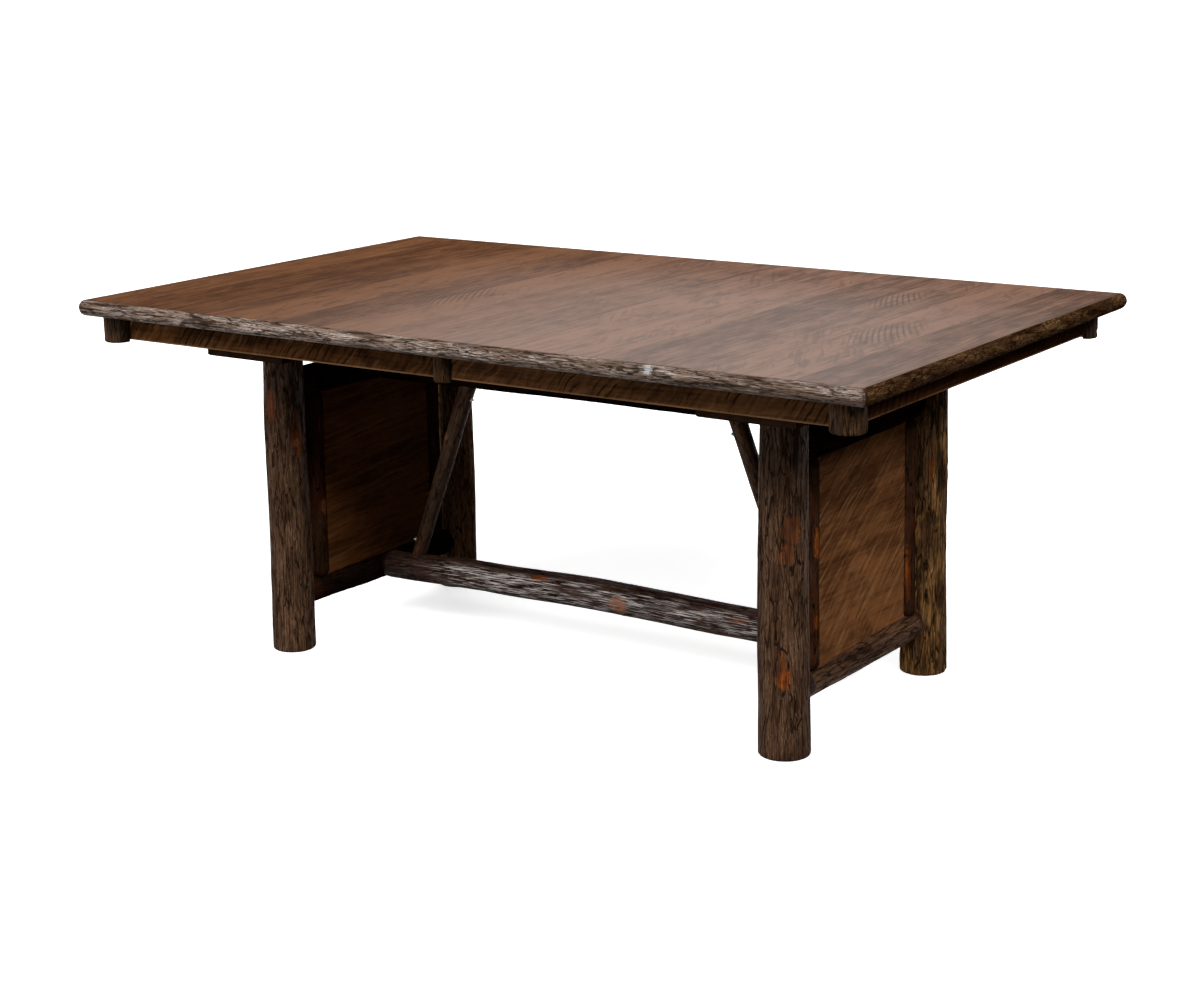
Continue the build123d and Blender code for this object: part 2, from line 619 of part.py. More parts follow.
def top_boards(side, tools):
    """Boards of one half, glued edge to edge, grain across the table."""
    width = (BOARD_END_X - SEAM_X) / BOARDS_PER_HALF
    boards = []
    for index in range(BOARDS_PER_HALF):
        near = side * (SEAM_X + index * width)
        far = side * (SEAM_X + (index + 1) * width)
        board = block((near, far), (-BOARD_END_Y, BOARD_END_Y), (TOP_UNDERSIDE, TABLE_HEIGHT))
        boards.append(cut_all(board, tools))
    return Compound(children=[solid for board in boards for solid in board.solids()])


def edging_profile():
    """Half-round face of the bark edging: flat back upright, round side towards +X."""
    half_height = TOP_THICKNESS / 2
    curve = ThreePointArc((0, -half_height), (EDGING_DEPTH, 0), (0, half_height))
    return make_face(curve + Line((0, half_height), (0, -half_height)))


def side_edging(side, row):
    """Bark edging along the front or back of one half, mitred at the table's corner."""
    middle = TABLE_HEIGHT - TOP_THICKNESS / 2
    plane = Plane(origin=(0, row * BOARD_END_Y, middle), x_dir=(0, row, 0), z_dir=(row, 0, 0))
    bar = extrude(plane * edging_profile(), amount=HALF_LENGTH, both=True)
    footprint = Polyline(
        (side * SEAM_X, row * BOARD_END_Y),
        (side * BOARD_END_X, row * BOARD_END_Y),
        (side * HALF_LENGTH, row * HALF_WIDTH),
        (side * SEAM_X, row * HALF_WIDTH),
        close=True,
    )
    keep = extrude(make_face(footprint), amount=TABLE_HEIGHT, dir=(0, 0, 1))
    return bar & keep


def end_edging(side):
    """Bark edging along one end of the table, mitred at both corners."""
    middle = TABLE_HEIGHT - TOP_THICKNESS / 2
    plane = Plane(origin=(side * BOARD_END_X, 0, middle), x_dir=(side, 0, 0), z_dir=(0, -side, 0))
    bar = extrude(plane * edging_profile(), amount=HALF_WIDTH, both=True)
    footprint = Polyline(
        (side * BOARD_END_X, -BOARD_END_Y),
        (side * HALF_LENGTH, -HALF_WIDTH),
        (side * HALF_LENGTH, HALF_WIDTH),
        (side * BOARD_END_X, BOARD_END_Y),
        close=True,
    )
    keep = extrude(make_face(footprint), amount=TABLE_HEIGHT, dir=(0, 0, 1))
    return bar & keep


def side_apron(side, row):
    """Apron board under the front or back of one half."""
    y_limits = (row * (APRON_Y - APRON_THICKNESS), row * APRON_Y)
    return block((side * SEAM_X, side * APRON_X), y_limits, (APRON_BOTTOM, TOP_UNDERSIDE))


def end_apron(side):
    """Apron board under one end, butted between the front and back aprons."""
    half = APRON_Y - APRON_THICKNESS
    x_limits = (side * (APRON_X - APRON_THICKNESS), side * APRON_X)
    return block(x_limits, (-half, half), (APRON_BOTTOM, TOP_UNDERSIDE))


def corner_post(side, row):
    """Short bark post notched over the corner of the aprons."""
    height = TOP_UNDERSIDE - POST_BOTTOM
    radius = POST_RADII[(side, row)]
    x, y = side * APRON_X, row * APRON_Y
    post = Pos(x, y, POST_BOTTOM + height / 2) * Cylinder(radius, height)
    reach = 2 * radius
    notch = block((x, x - side * reach), (y, y - row * reach), (0, TABLE_HEIGHT))
    return post - notch


def mid_post(row):
    """Half-round bark post on the left half's apron that covers the seam of the aprons."""
    height = TOP_UNDERSIDE - POST_BOTTOM
    y = row * APRON_Y
    post = Pos(0, y, POST_BOTTOM + height / 2) * Cylinder(MID_POST_RADIUS, height)
    reach = 2 * MID_POST_RADIUS
    behind = block((-reach, reach), (y, y - row * reach), (0, TABLE_HEIGHT))
    relief = block((-SEAM_X, reach), (y, y + row * SLIDING_GAP), (0, TABLE_HEIGHT))
    return post - behind - relief


# ---- locks -----------------------------------------------------------------------------------
def lock_stud(row):
    """Headed stud that the lever turns on, riveted into the lock plate."""
    x, y = LOCK_REACH, row * LOCK_Y
    plate_bottom = TOP_UNDERSIDE - LOCK_PLATE_THICKNESS
    neck = LEVER_THICKNESS + 2 * LEVER_PLAY
    shank = Cylinder(LOCK_STUD_RADIUS, neck, align=(Align.CENTER, Align.CENTER, Align.MAX))
    head = Cylinder(LOCK_STUD_HEAD, LOCK_HEAD_THICKNESS, align=(Align.CENTER, Align.CENTER, Align.MAX))
    return Pos(x, y, plate_bottom) * shank + Pos(x, y, plate_bottom - neck) * head


def lock_plate(row):
    """Steel plate under the right half that carries the lever's stud."""
    half_width = LOCK_PLATE_WIDTH / 2
    y = row * LOCK_Y
    near = LOCK_REACH - LOCK_PLATE_LENGTH / 2
    plate = block((near, near + LOCK_PLATE_LENGTH), (y - half_width, y + half_width),
                  (TOP_UNDERSIDE - LOCK_PLATE_THICKNESS, TOP_UNDERSIDE))
    plate = fillet(plate.edges().filter_by(Axis.Z), LOCK_PLATE_THICKNESS)
    return plate + lock_stud(row)


def lock_keeper(row):
    """Steel plate under the left half with the peg that the lever hooks on."""
    half_width = LOCK_PLATE_WIDTH / 2
    y = row * LOCK_Y
    far = -LOCK_REACH + LOCK_PLATE_LENGTH / 2
    plate = block((far - LOCK_PLATE_LENGTH, far), (y - half_width, y + half_width),
                  (TOP_UNDERSIDE - LOCK_PLATE_THICKNESS, TOP_UNDERSIDE))
    plate = fillet(plate.edges().filter_by(Axis.Z), LOCK_PLATE_THICKNESS)
    drop = LEVER_THICKNESS + 2 * LEVER_PLAY
    peg = Cylinder(LOCK_PEG_RADIUS, drop, align=(Align.CENTER, Align.CENTER, Align.MAX))
    return plate + Pos(-LOCK_REACH, y, TOP_UNDERSIDE - LOCK_PLATE_THICKNESS) * peg


def lock_lever(row):
    """Flat lever, drawn hooked on the keeper and then turned a quarter back to its open place."""
    reach = 2 * LOCK_REACH
    slot_half = LOCK_PEG_RADIUS + HOOK_PLAY
    tip = reach + slot_half + HOOK_WALL
    half_width = LEVER_WIDTH / 2
    arm = block((-tip, 0), (-half_width, half_width), (-LEVER_THICKNESS, 0))
    eye = Cylinder(half_width, LEVER_THICKNESS, align=(Align.CENTER, Align.CENTER, Align.MAX))
    tail = block((0, LEVER_TAIL), (-half_width / 2, half_width / 2), (-LEVER_THICKNESS, 0))
    grip = block((LEVER_TAIL - LEVER_THICKNESS, LEVER_TAIL), (-half_width / 2, half_width / 2),
                 (-LEVER_GRIP, 0))
    blade = arm + eye + tail + grip
    ring = Cylinder(reach + slot_half, LEVER_WIDTH) - Cylinder(reach - slot_half, LEVER_WIDTH)
    mouth = ring & block((-2 * reach, 0), (-row * slot_half, row * 2 * LEVER_WIDTH),
                         (-LEVER_WIDTH, LEVER_WIDTH))
    bore = Cylinder(LOCK_STUD_RADIUS + PIN_CLEARANCE, 3 * LEVER_THICKNESS)
    blade = blade - mouth - bore
    top = TOP_UNDERSIDE - LOCK_PLATE_THICKNESS - LEVER_PLAY
    return Pos(LOCK_REACH, row * LOCK_Y, top) * Rot(0, 0, row * 90) * blade


# ---- assembly --------------------------------------------------------------------------------
def end_frame(side):
    """Rails, stiles and panel of one end frame, each cut to take the others."""
    lower = rail(side, LOWER_RAIL_HEIGHT, *LOWER_RAIL_RADII)
    upper = rail(side, UPPER_RAIL_HEIGHT, UPPER_RAIL_RADIUS, UPPER_RAIL_RADIUS)
    panel = end_panel(side)
    stiles = {row: stile(side, row) - panel for row in (FRONT, BACK)}
    sockets = [panel, *stiles.values()]
    return cut_all(lower, sockets), cut_all(upper, sockets), stiles, panel


def base_pieces():
    """Everything that stands still when the top is drawn out."""
    pieces = {}
    lower, upper = lower_stretcher(), upper_stretcher()
    screws = []
    for side in (LEFT, RIGHT):
        name = SIDE_NAMES[side]
        low_rail, high_rail, stiles, panel = end_frame(side)
        lags = {row: leg_lag_screw(side, row) for row in (FRONT, BACK)}
        for row in (FRONT, BACK):
            where = ROW_NAMES[row] + "_" + name
            pieces["leg_" + where] = cut_all(leg(side, row), [low_rail, high_rail, lags[row]])
            pieces["stile_" + where] = stiles[row]
        pieces["lower_rail_" + name] = low_rail - lower
        pieces["upper_rail_" + name] = high_rail - upper
        pieces["end_panel_" + name] = panel
        holders = brace_screws(side)
        screws += holders
        pieces["brace_" + name] = cut_all(brace(side, (lower, upper)), holders)
        bores = [*lags.values(), *runner_screws(FRONT), *runner_screws(BACK)]
        for row in (FRONT, BACK):
            recess = Cylinder(LAG_HEAD_RADIUS, 2 * LAG_RECESS)
            bores.append(Pos(side * LEG_X, row * LEG_Y, CLEAT_TOP) * recess)
        pieces["leg_cleat_" + name] = cut_all(leg_cleat(side), bores)
    panels = [pieces["end_panel_left"], pieces["end_panel_right"]]
    pieces["lower_stretcher"] = cut_all(lower, screws + panels)
    pieces["upper_stretcher"] = cut_all(upper, screws + panels)
    for row in (FRONT, BACK):
        holders = runner_screws(row)
        screws += holders
        pieces["runner_" + ROW_NAMES[row]] = cut_all(runner(row), holders)
    pieces["base_screws"] = Compound(children=screws)
    all_lags = [leg_lag_screw(side, row) for side in (LEFT, RIGHT) for row in (FRONT, BACK)]
    pieces["leg_lag_screws"] = Compound(children=all_lags)
    pieces["pinion_pins"] = Compound(children=[pinion_pin(row) for row in (FRONT, BACK)])
    return pieces


def top_pieces(side):
    """Everything that one half of the top carries along."""
    name = SIDE_NAMES[side]
    screws = [item for row in (FRONT, BACK) for item in slide_screws(side, row)]
    if side == RIGHT:
        seam_cuts = [dowel(index) for index in range(DOWEL_COUNT)]
    else:
        seam_cuts = [dowel_socket(index) for index in range(DOWEL_COUNT)]
    pieces = {
        "top_boards_" + name: top_boards(side, screws + seam_cuts),
        "end_edging_" + name: end_edging(side),
        "end_apron_" + name: end_apron(side),
        "racks_" + name: Compound(children=[rack(side, row) for row in (FRONT, BACK)]),
        "slide_screws_" + name: Compound(children=screws),
    }
    for row in (FRONT, BACK):
        where = ROW_NAMES[row] + "_" + name
        pieces["side_edging_" + where] = side_edging(side, row)
        pieces["side_apron_" + where] = side_apron(side, row)
        pieces["corner_post_" + where] = corner_post(side, row)
        pieces["slide_" + where] = slide(side, row)
    return pieces


def fittings():
    """Pieces that one half or a body of its own has and the other lacks."""
    pieces = {
        "alignment_dowels": Compound(children=[dowel(index) for index in range(DOWEL_COUNT)]),
        "lock_plates": Compound(children=[lock_plate(row) for row in (FRONT, BACK)]),
        "lock_keepers": Compound(children=[lock_keeper(row) for row in (FRONT, BACK)]),
    }
    for row in (FRONT, BACK):
        pieces["mid_post_" + ROW_NAMES[row]] = mid_post(row)
        pieces["lock_lever_" + ROW_NAMES[row]] = lock_lever(row)
        pieces["pinion_" + ROW_NAMES[row]] = pinion(row)
    return pieces


table = {**base_pieces(), **top_pieces(LEFT), **top_pieces(RIGHT), **fittings()}
os.makedirs("parts", exist_ok=True)
for node_name, shape in table.items():
    export_step(shape, "parts/" + node_name + ".step")
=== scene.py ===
"""A rustic hickory extending table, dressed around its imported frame.

The frame holds every piece at its real size and place. This script gives the poles, the posts and the
edging a bark with real fissures, knots and scars, and gives every other piece its wood or metal finish.
All lengths are metres, +Z is up and +Y is the back of the table.
"""

from __future__ import annotations

import json
import logging
import math
import sys
from collections.abc import Iterable, Iterator, Mapping
from dataclasses import dataclass, field, replace
from enum import Enum

import bmesh
import bpy
from mathutils import Matrix, Vector, noise

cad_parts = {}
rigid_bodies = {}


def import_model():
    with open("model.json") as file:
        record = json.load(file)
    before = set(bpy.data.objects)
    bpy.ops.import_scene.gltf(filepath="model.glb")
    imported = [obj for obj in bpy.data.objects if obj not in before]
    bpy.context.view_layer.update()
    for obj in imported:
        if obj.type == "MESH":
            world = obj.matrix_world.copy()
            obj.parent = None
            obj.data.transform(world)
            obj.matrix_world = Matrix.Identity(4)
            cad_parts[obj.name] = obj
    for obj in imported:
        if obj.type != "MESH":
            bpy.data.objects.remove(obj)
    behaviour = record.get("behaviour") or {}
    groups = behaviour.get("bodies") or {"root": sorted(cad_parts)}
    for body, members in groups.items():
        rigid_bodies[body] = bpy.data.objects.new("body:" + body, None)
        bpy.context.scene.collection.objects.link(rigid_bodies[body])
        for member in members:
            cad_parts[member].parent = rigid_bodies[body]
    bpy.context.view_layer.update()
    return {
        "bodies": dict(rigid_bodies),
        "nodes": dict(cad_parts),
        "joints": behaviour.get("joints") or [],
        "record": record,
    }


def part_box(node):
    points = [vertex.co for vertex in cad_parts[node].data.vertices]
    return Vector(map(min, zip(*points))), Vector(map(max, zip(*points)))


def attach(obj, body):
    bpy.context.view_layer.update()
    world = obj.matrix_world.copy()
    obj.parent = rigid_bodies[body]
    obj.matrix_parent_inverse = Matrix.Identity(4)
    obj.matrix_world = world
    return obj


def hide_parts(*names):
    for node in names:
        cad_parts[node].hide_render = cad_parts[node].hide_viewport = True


LOG = logging.getLogger("table")
MM = 0.001
IMAGE_WIDTH, IMAGE_HEIGHT = 1200, 1000
NOISE_SEED = 7
BOARDS_PER_HALF = 7
LEG_Y = 0.281
STILE_Y = 0.195
SHARP_ANGLE = math.radians(50)
X_AXIS, Y_AXIS, Z_AXIS = Vector((1, 0, 0)), Vector((0, 1, 0)), Vector((0, 0, 1))

Colour = tuple[float, float, float]
Station = tuple[float, float, float, float]


def tint(red: int, green: int, blue: int) -> Colour:
    """Linear colour from everyday 0 to 255 values."""
    def linear(value: float) -> float:
        return value / 12.92 if value <= 0.04045 else ((value + 0.055) / 1.055) ** 2.4
    return linear(red / 255), linear(green / 255), linear(blue / 255)


def darker(colour: Colour, share: float) -> Colour:
    """The colour with only a share of its light."""
    return tuple(value * share for value in colour)


def smooth(value: float, low: float = 0.0, high: float = 1.0) -> float:
    """Soft step from 0 at low to 1 at high."""
    share = min(max((value - low) / (high - low), 0.0), 1.0)
    return share * share * (3 - 2 * share)


def blend(first: float, second: float, share: float) -> float:
    """Value between two others."""
    return first + (second - first) * share


class Way(Enum):
    """A direction with a sign."""

    @property
    def word(self) -> str:
        """Its name, as the nodes have it."""
        return self.name.lower()


class Side(Way):
    """Left or right half of the table, by the sign of X."""

    LEFT = -1
    RIGHT = 1


class Row(Way):
    """Front or back of the table, by the sign of Y."""

    FRONT = -1
    BACK = 1


# ---- node trees --------------------------------------------------------------------------------
@dataclass(frozen=True)
class Wire:
    """One output of a node, with sums as operators.

    Attributes:
        graph: the graph that it is in.
        socket: the node's output.
    """

    graph: Graph
    socket: bpy.types.NodeSocket

    def sum(self, operation: str, other: Feed = 0.0) -> Wire:
        """Result of a sum on this and another value."""
        kind = "Math" if self.socket.type == "VALUE" else "VectorMath"
        return self.graph.add(kind, {0: self, 1: other}, operation=operation)[0]

    def __add__(self, other: Feed) -> Wire:
        """This and another."""
        return self.sum("ADD", other)

    def __sub__(self, other: Feed) -> Wire:
        """This without another."""
        return self.sum("SUBTRACT", other)

    def __rsub__(self, first: float) -> Wire:
        """A number without this."""
        return self.graph.add("Math", {0: first, 1: self}, operation="SUBTRACT")[0]

    def __mul__(self, other: Feed) -> Wire:
        """This times another."""
        return self.sum("MULTIPLY", other)

    def __truediv__(self, other: Feed) -> Wire:
        """This over another."""
        return self.sum("DIVIDE", other)

    def most(self, other: Feed) -> Wire:
        """The larger of this and another."""
        return self.sum("MAXIMUM", other)

    def span(self, low: float, high: float, to_low: float = 0.0, to_high: float = 1.0) -> Wire:
        """Soft map of the value from one range to another."""
        limits = {0: self, 1: low, 2: high, 3: to_low, 4: to_high}
        return self.graph.add("MapRange", limits, interpolation_type="SMOOTHSTEP")[0]


Feed = Wire | float | tuple
Wires = dict[str | int, Wire]


class Graph:
    """Short ways to add and join the nodes of one tree."""

    def __init__(self, tree: bpy.types.NodeTree) -> None:
        """Args:
            tree: the node tree that receives the nodes.
        """
        self.tree = tree

    def feed(self, node: bpy.types.Node, values: Mapping[str | int, Feed]) -> None:
        """Link or set the inputs of a node, each by its name or number."""
        for name, value in values.items():
            socket = node.inputs[name]
            if isinstance(value, Wire):
                self.tree.links.new(value.socket, socket)
            elif socket.type == "RGBA" and len(value) == 3:
                socket.default_value = (*value, 1.0)
            else:
                socket.default_value = value

    def wires(self, node: bpy.types.Node) -> Wires:
        """Outputs of a node, by number and by name."""
        wires = [Wire(self, socket) for socket in node.outputs]
        return {**dict(enumerate(wires)), **{wire.socket.name: wire for wire in wires}}

    def add(self, kind: str, values: Mapping[str | int, Feed] | None = None, **settings: object) -> Wires:
        """Add one shader node.

        Args:
            kind: the node's type, without its ShaderNode prefix.
            values: what feeds each named or numbered input.
            settings: attributes of the node itself.

        Returns:
            The new node's outputs.
        """
        node = self.tree.nodes.new("ShaderNode" + kind)
        for name, value in settings.items():
            setattr(node, name, value)
        self.feed(node, values or {})
        return self.wires(node)

    def mix(self, share: Feed, first: Feed, second: Feed, blend_type: str = "MIX") -> Wire:
        """Colour between two others."""
        return self.add("Mix", {0: share, 6: first, 7: second}, data_type="RGBA", blend_type=blend_type)[2]

    def noise(self, vector: Wire, scale: float | tuple, detail: float = 3.0, roughness: float = 0.55,
              distortion: float = 0.0, output: str = "Fac") -> Wire:
        """Cloudy value from 0 to 1.

        Args:
            vector: place in the pattern.
            scale: one scale, or one for each axis.
            detail: number of finer layers.
            roughness: strength of the finer layers.
            distortion: how much the pattern swirls.
            output: name of the node's output.

        Returns:
            The value.
        """
        if isinstance(scale, tuple):
            vector, scale = vector * scale, 1.0
        values = {"Vector": vector, "Scale": scale, "Detail": detail, "Roughness": roughness,
                  "Distortion": distortion}
        return self.add("TexNoise", values)[output]

    def ramp(self, factor: Wire, *stops: tuple[float, Colour]) -> Wire:
        """Colour from a ramp of stops, each a place and a colour."""
        node = self.tree.nodes.new("ShaderNodeValToRGB")
        self.feed(node, {0: factor})
        bar = node.color_ramp.elements
        while len(bar) < len(stops):
            bar.new(1.0)
        for element, (place, colour) in zip(bar, stops):
            element.position = place
            element.color = (*colour, 1.0)
        return Wire(self, node.outputs[0])

    def attribute(self, name: str, output: str = "Fac") -> Wire:
        """Value that a piece's mesh carries."""
        return self.add("Attribute", attribute_name=name)[output]

    def place(self) -> Wires:
        """Axes of the point on the object."""
        return self.add("SeparateXYZ", {0: self.add("TexCoord")["Object"]})

    def point(self, x: Feed, y: Feed, z: Feed = 0.0) -> Wire:
        """Vector from its axes."""
        return self.add("CombineXYZ", {0: x, 1: y, 2: z})[0]

    def bump(self, height: Wire, strength: float, distance: float) -> Wire:
        """Normal of a bumpy surface."""
        return self.add("Bump", {"Height": height, "Strength": strength, "Distance": distance})[0]

    def close(self, **values: Wire) -> bpy.types.NodeTree:
        """Feed the outputs of a group and return its tree."""
        self.feed(self.tree.nodes.new("NodeGroupOutput"), values)
        return self.tree


def new_group(name: str, numbers: Mapping[str, float], outputs: Iterable[str]) -> tuple[Graph, Wires]:
    """Start a shader node group that takes a vector and some numbers.

    Args:
        name: the group's name.
        numbers: name and first value of each number.
        outputs: name of each output, all numbers.

    Returns:
        The group's graph and its inputs.
    """
    tree = bpy.data.node_groups.new(name, "ShaderNodeTree")
    tree.interface.new_socket("Vector", in_out="INPUT", socket_type="NodeSocketVector")
    for socket, value in numbers.items():
        made = tree.interface.new_socket(socket, in_out="INPUT", socket_type="NodeSocketFloat")
        made.default_value = value
    for socket in outputs:
        tree.interface.new_socket(socket, in_out="OUTPUT", socket_type="NodeSocketFloat")
    graph = Graph(tree)
    return graph, graph.wires(tree.nodes.new("NodeGroupInput"))


class Effects:
    """Node groups that several finishes share."""

    def __init__(self) -> None:
        """Build each group once."""
        self.streaks = self._streaks()
        self.saw_marks = self._saw_marks()
        self.fibres = self._fibres()

    @staticmethod
    def _streaks() -> bpy.types.NodeTree:
        """Wood figure whose grain runs along the vector's Z: broad bands, fine lines and pores."""
        graph, given = new_group("wood_streaks", {"Bend": 0.02}, ("Broad", "Fine", "Pores"))
        place = given["Vector"]
        sway = (graph.noise(place, (2.0, 2.0, 1.6), 2.0) - 0.5) * given["Bend"]
        bent = place + graph.point(sway, sway)
        return graph.close(
            Broad=graph.noise(bent, (16, 16, 1.1), 4.0, 0.6, 0.4),
            Fine=graph.noise(bent, (170, 170, 5), 4.0, 0.6),
            Pores=graph.noise(bent, (700, 700, 32), 1.0, 0.5).span(0.60, 0.72),
        )

    @staticmethod
    def _saw_marks() -> bpy.types.NodeTree:
        """Leaning marks of a round saw, with the vector's X along the board and Y across it."""
        graph, given = new_group("saw_marks", {"Pitch": 0.02, "Lean": 0.5, "Curve": 0.0, "Wobble": 1.0},
                                 ("Lines", "Wave", "Streaks"))
        place = given["Vector"]
        parts = graph.add("SeparateXYZ", {0: place})
        across = parts["Y"]
        shift = across * given["Lean"] + across * across * given["Curve"]
        turns = (parts["X"] - shift) / given["Pitch"] + graph.noise(place, 9.0) * given["Wobble"]
        wave = (turns * math.tau).sum("SINE")
        uneven = graph.noise(place, 9.0, 4.0, 0.65)
        return graph.close(
            Lines=wave.span(0.35, 1.0) * uneven.span(0.46, 0.60),
            Wave=wave.span(0.0, 0.9),
            Streaks=graph.noise(graph.point(turns, across * 12.0), 1.3, 4.0, 0.62, 0.3),
        )

    @staticmethod
    def _fibres() -> bpy.types.NodeTree:
        """Fine bark: winding cracks, threads and mottling that run along the vector's Z."""
        graph, given = new_group("bark_fibres", {"Width": 0.04, "Fineness": 1.0, "Stretch": 1.0},
                                 ("Cracks", "Threads", "Mottle"))
        fineness = given["Fineness"]
        place = given["Vector"] * graph.point(fineness, fineness, fineness / given["Stretch"])
        wander = graph.noise(place, (50, 50, 28), 3.0, 0.5, output="Color") - (0.5, 0.5, 0.5)
        bent = place + wander * (0.007, 0.007, 0.0)

        def net(scale: tuple[float, float, float], width: Wire) -> Wire:
            """Lines between the cells of a stretched pattern."""
            cells = graph.add("TexVoronoi", {"Vector": bent * scale, "Scale": 1.0}, feature="DISTANCE_TO_EDGE")
            return (cells["Distance"] / width).span(0.15, 1.0)

        wide = net((125, 125, 8), given["Width"] * 1.5)
        narrow = net((260, 260, 16), given["Width"] * 2.4) * 0.5 + 0.5
        return graph.close(
            Cracks=wide * narrow,
            Threads=graph.noise(bent, (1100, 1100, 60), 2.0, 0.6),
            Mottle=graph.noise(place, (30, 30, 9), 5.0, 0.65),
        )


# ---- finishes ----------------------------------------------------------------------------------
def start_material(name: str) -> tuple[bpy.types.Material, Graph, bpy.types.Node]:
    """New material with its graph and its Principled shader."""
    material = bpy.data.materials.new(name)
    material.use_nodes = True
    return material, Graph(material.node_tree), material.node_tree.nodes["Principled BSDF"]


@dataclass(frozen=True)
class BarkFinish:
    """Bark under a clear coat, with its ridges, cracks, bare shoulders, scars and knots.

    Attributes:
        name: the material's name.
        ridge: colour of the ridges.
        warm: colour that parts of the ridges drift to.
        crack: colour at the bottom of the cracks.
        rubbed: colour of the pale threads on the ridges, partly weathered bark and partly painted glints.
        gloss: roughness of the ridges.
        rubbing: how much of that pale colour shows.
        width: how wide the fine cracks open.
        bump: depth of the fine cracks.
        fissure: share of the ridge's colour that is left in the wide fissures.
        coat: strength of the clear coat.
        coat_roughness: roughness of the clear coat.
        sheen: specular level of the bark under the coat.
        fineness: how fine the pattern is.
        stretch: how long its cracks are.
        patches: how sharply the warm parts stand out, as a half width of their rim.
        knots: colour of the knots.
        silver: strength of a painted highlight of long pale threads on the pole's front.
    """

    name: str
    ridge: Colour
    warm: Colour
    crack: Colour
    rubbed: Colour
    gloss: float = 0.42
    rubbing: float = 0.5
    width: float = 0.045
    bump: float = 0.9 * MM
    fissure: float = 0.7
    coat: float = 0.0
    coat_roughness: float = 0.2
    sheen: float = 0.15
    fineness: float = 1.0
    stretch: float = 1.0
    patches: float = 0.1
    knots: Colour = tint(132, 84, 60)
    silver: float = 0.0

    def skin(self, graph: Graph, fine: Wires, grain: Wire, relief: Wire) -> Wire:
        """Colour of the bark where it is whole.

        Args:
            graph: the material's graph.
            fine: outputs of the bark fibres group.
            grain: place on the bark.
            relief: height of the bark.

        Returns:
            The colour.
        """
        drift = graph.noise(grain, (26, 26, 8), 3.0, 0.6)
        skin = graph.mix(drift.span(0.54 - self.patches, 0.54 + self.patches), self.ridge, self.warm)
        shade = fine["Mottle"].span(0.28, 0.72, 0.62, 1.35)
        skin = graph.mix(1.0, skin, graph.add("CombineColor", {0: shade, 1: shade, 2: shade})[0], "MULTIPLY")
        # Pale threads on the ridges: partly weathered bark, partly painted glints.
        worn = fine["Threads"].span(0.46, 0.68) * fine["Mottle"].span(0.40, 0.60)
        skin = graph.mix(worn * self.rubbing, skin, self.rubbed)
        depth = relief.span(0.05, 0.70, self.fissure, 1.0) * fine["Cracks"].span(0.05, 0.85, 0.12, 1.0)
        return graph.mix(depth, self.crack, skin)

    def threads(self, graph: Graph, grain: Wire) -> Wire:
        """Strength of a painted highlight: long pale threads on the pole's front, dimmed towards its left end
        where a leg's shadow falls.
        """
        place = graph.place()
        threads = graph.noise(grain, (560, 560, 19), 3.0, 0.6).span(0.50, 0.59)
        broken = graph.noise(grain, (60, 60, 9), 3.0, 0.6).span(0.36, 0.54, 0.1, 1.0)
        # Painted highlight kept to the pole's front face, with a painted leg shadow dimming it towards the left
        # end.
        facing = place["Y"].span(-0.014, -0.029) * place["X"].span(-0.46, -0.34, 0.1, 1.0)
        return threads * broken * facing * self.silver

    def make(self, effects: Effects) -> bpy.types.Material:
        """Build the material.

        Args:
            effects: the shared node groups.

        Returns:
            The finished material.
        """
        material, graph, shader = start_material(self.name)
        grain = graph.attribute("grain", "Vector")
        relief, bare, scar, knot = (graph.attribute(name) for name in Layers.NAMES)
        fine = graph.add("Group", {"Vector": grain, "Width": self.width, "Fineness": self.fineness,
                                   "Stretch": self.stretch}, node_tree=effects.fibres)
        cracks, threads = fine["Cracks"], fine["Threads"]
        skin = self.skin(graph, fine, grain, relief)
        # Painted highlight: long pale threads on the stretcher's front stand in for the gleam of a lamp.
        if self.silver:
            skin = graph.mix(self.threads(graph, grain), skin, self.rubbed)
        streak = graph.noise(grain, (260, 260, 14), 3.0, 0.6)
        worn = graph.ramp(streak, (0.30, tint(54, 21, 7)), (0.50, tint(100, 45, 13)), (0.70, tint(148, 80, 28)))
        left = fine["Mottle"].span(0.34, 0.56, 0.25, 1.0) * cracks.span(0.0, 0.8, 0.45, 1.0)
        skin = graph.mix(scar * left, skin, worn)
        skin = graph.mix(bare, skin, graph.ramp(streak, (0.3, tint(18, 9, 6)), (0.7, tint(54, 28, 18))))
        disc = graph.mix(streak.span(0.2, 0.6), darker(self.knots, 0.45), self.knots)
        closed = cracks * relief.span(0.2, 0.7)
        smoothed = bare.most(scar * 0.7)
        dull = closed.span(0.2, 0.9, 0.85, self.gloss) + (threads - 0.5) * 0.3
        rough = (cracks + threads * 0.35) * (1.0 - smoothed * 0.9)
        wet = closed.most(smoothed) * threads.span(0.40, 0.60, 0.25, 1.0)
        graph.feed(shader, {
            "Base Color": graph.mix(knot, skin, disc),
            "Roughness": dull - smoothed * 0.15,
            "Normal": graph.bump(rough, 0.8, self.bump),
            "Specular IOR Level": self.sheen,
            "Coat Weight": wet * self.coat,
            "Coat Roughness": self.coat_roughness,
            "Coat IOR": 1.5,
        })
        return material


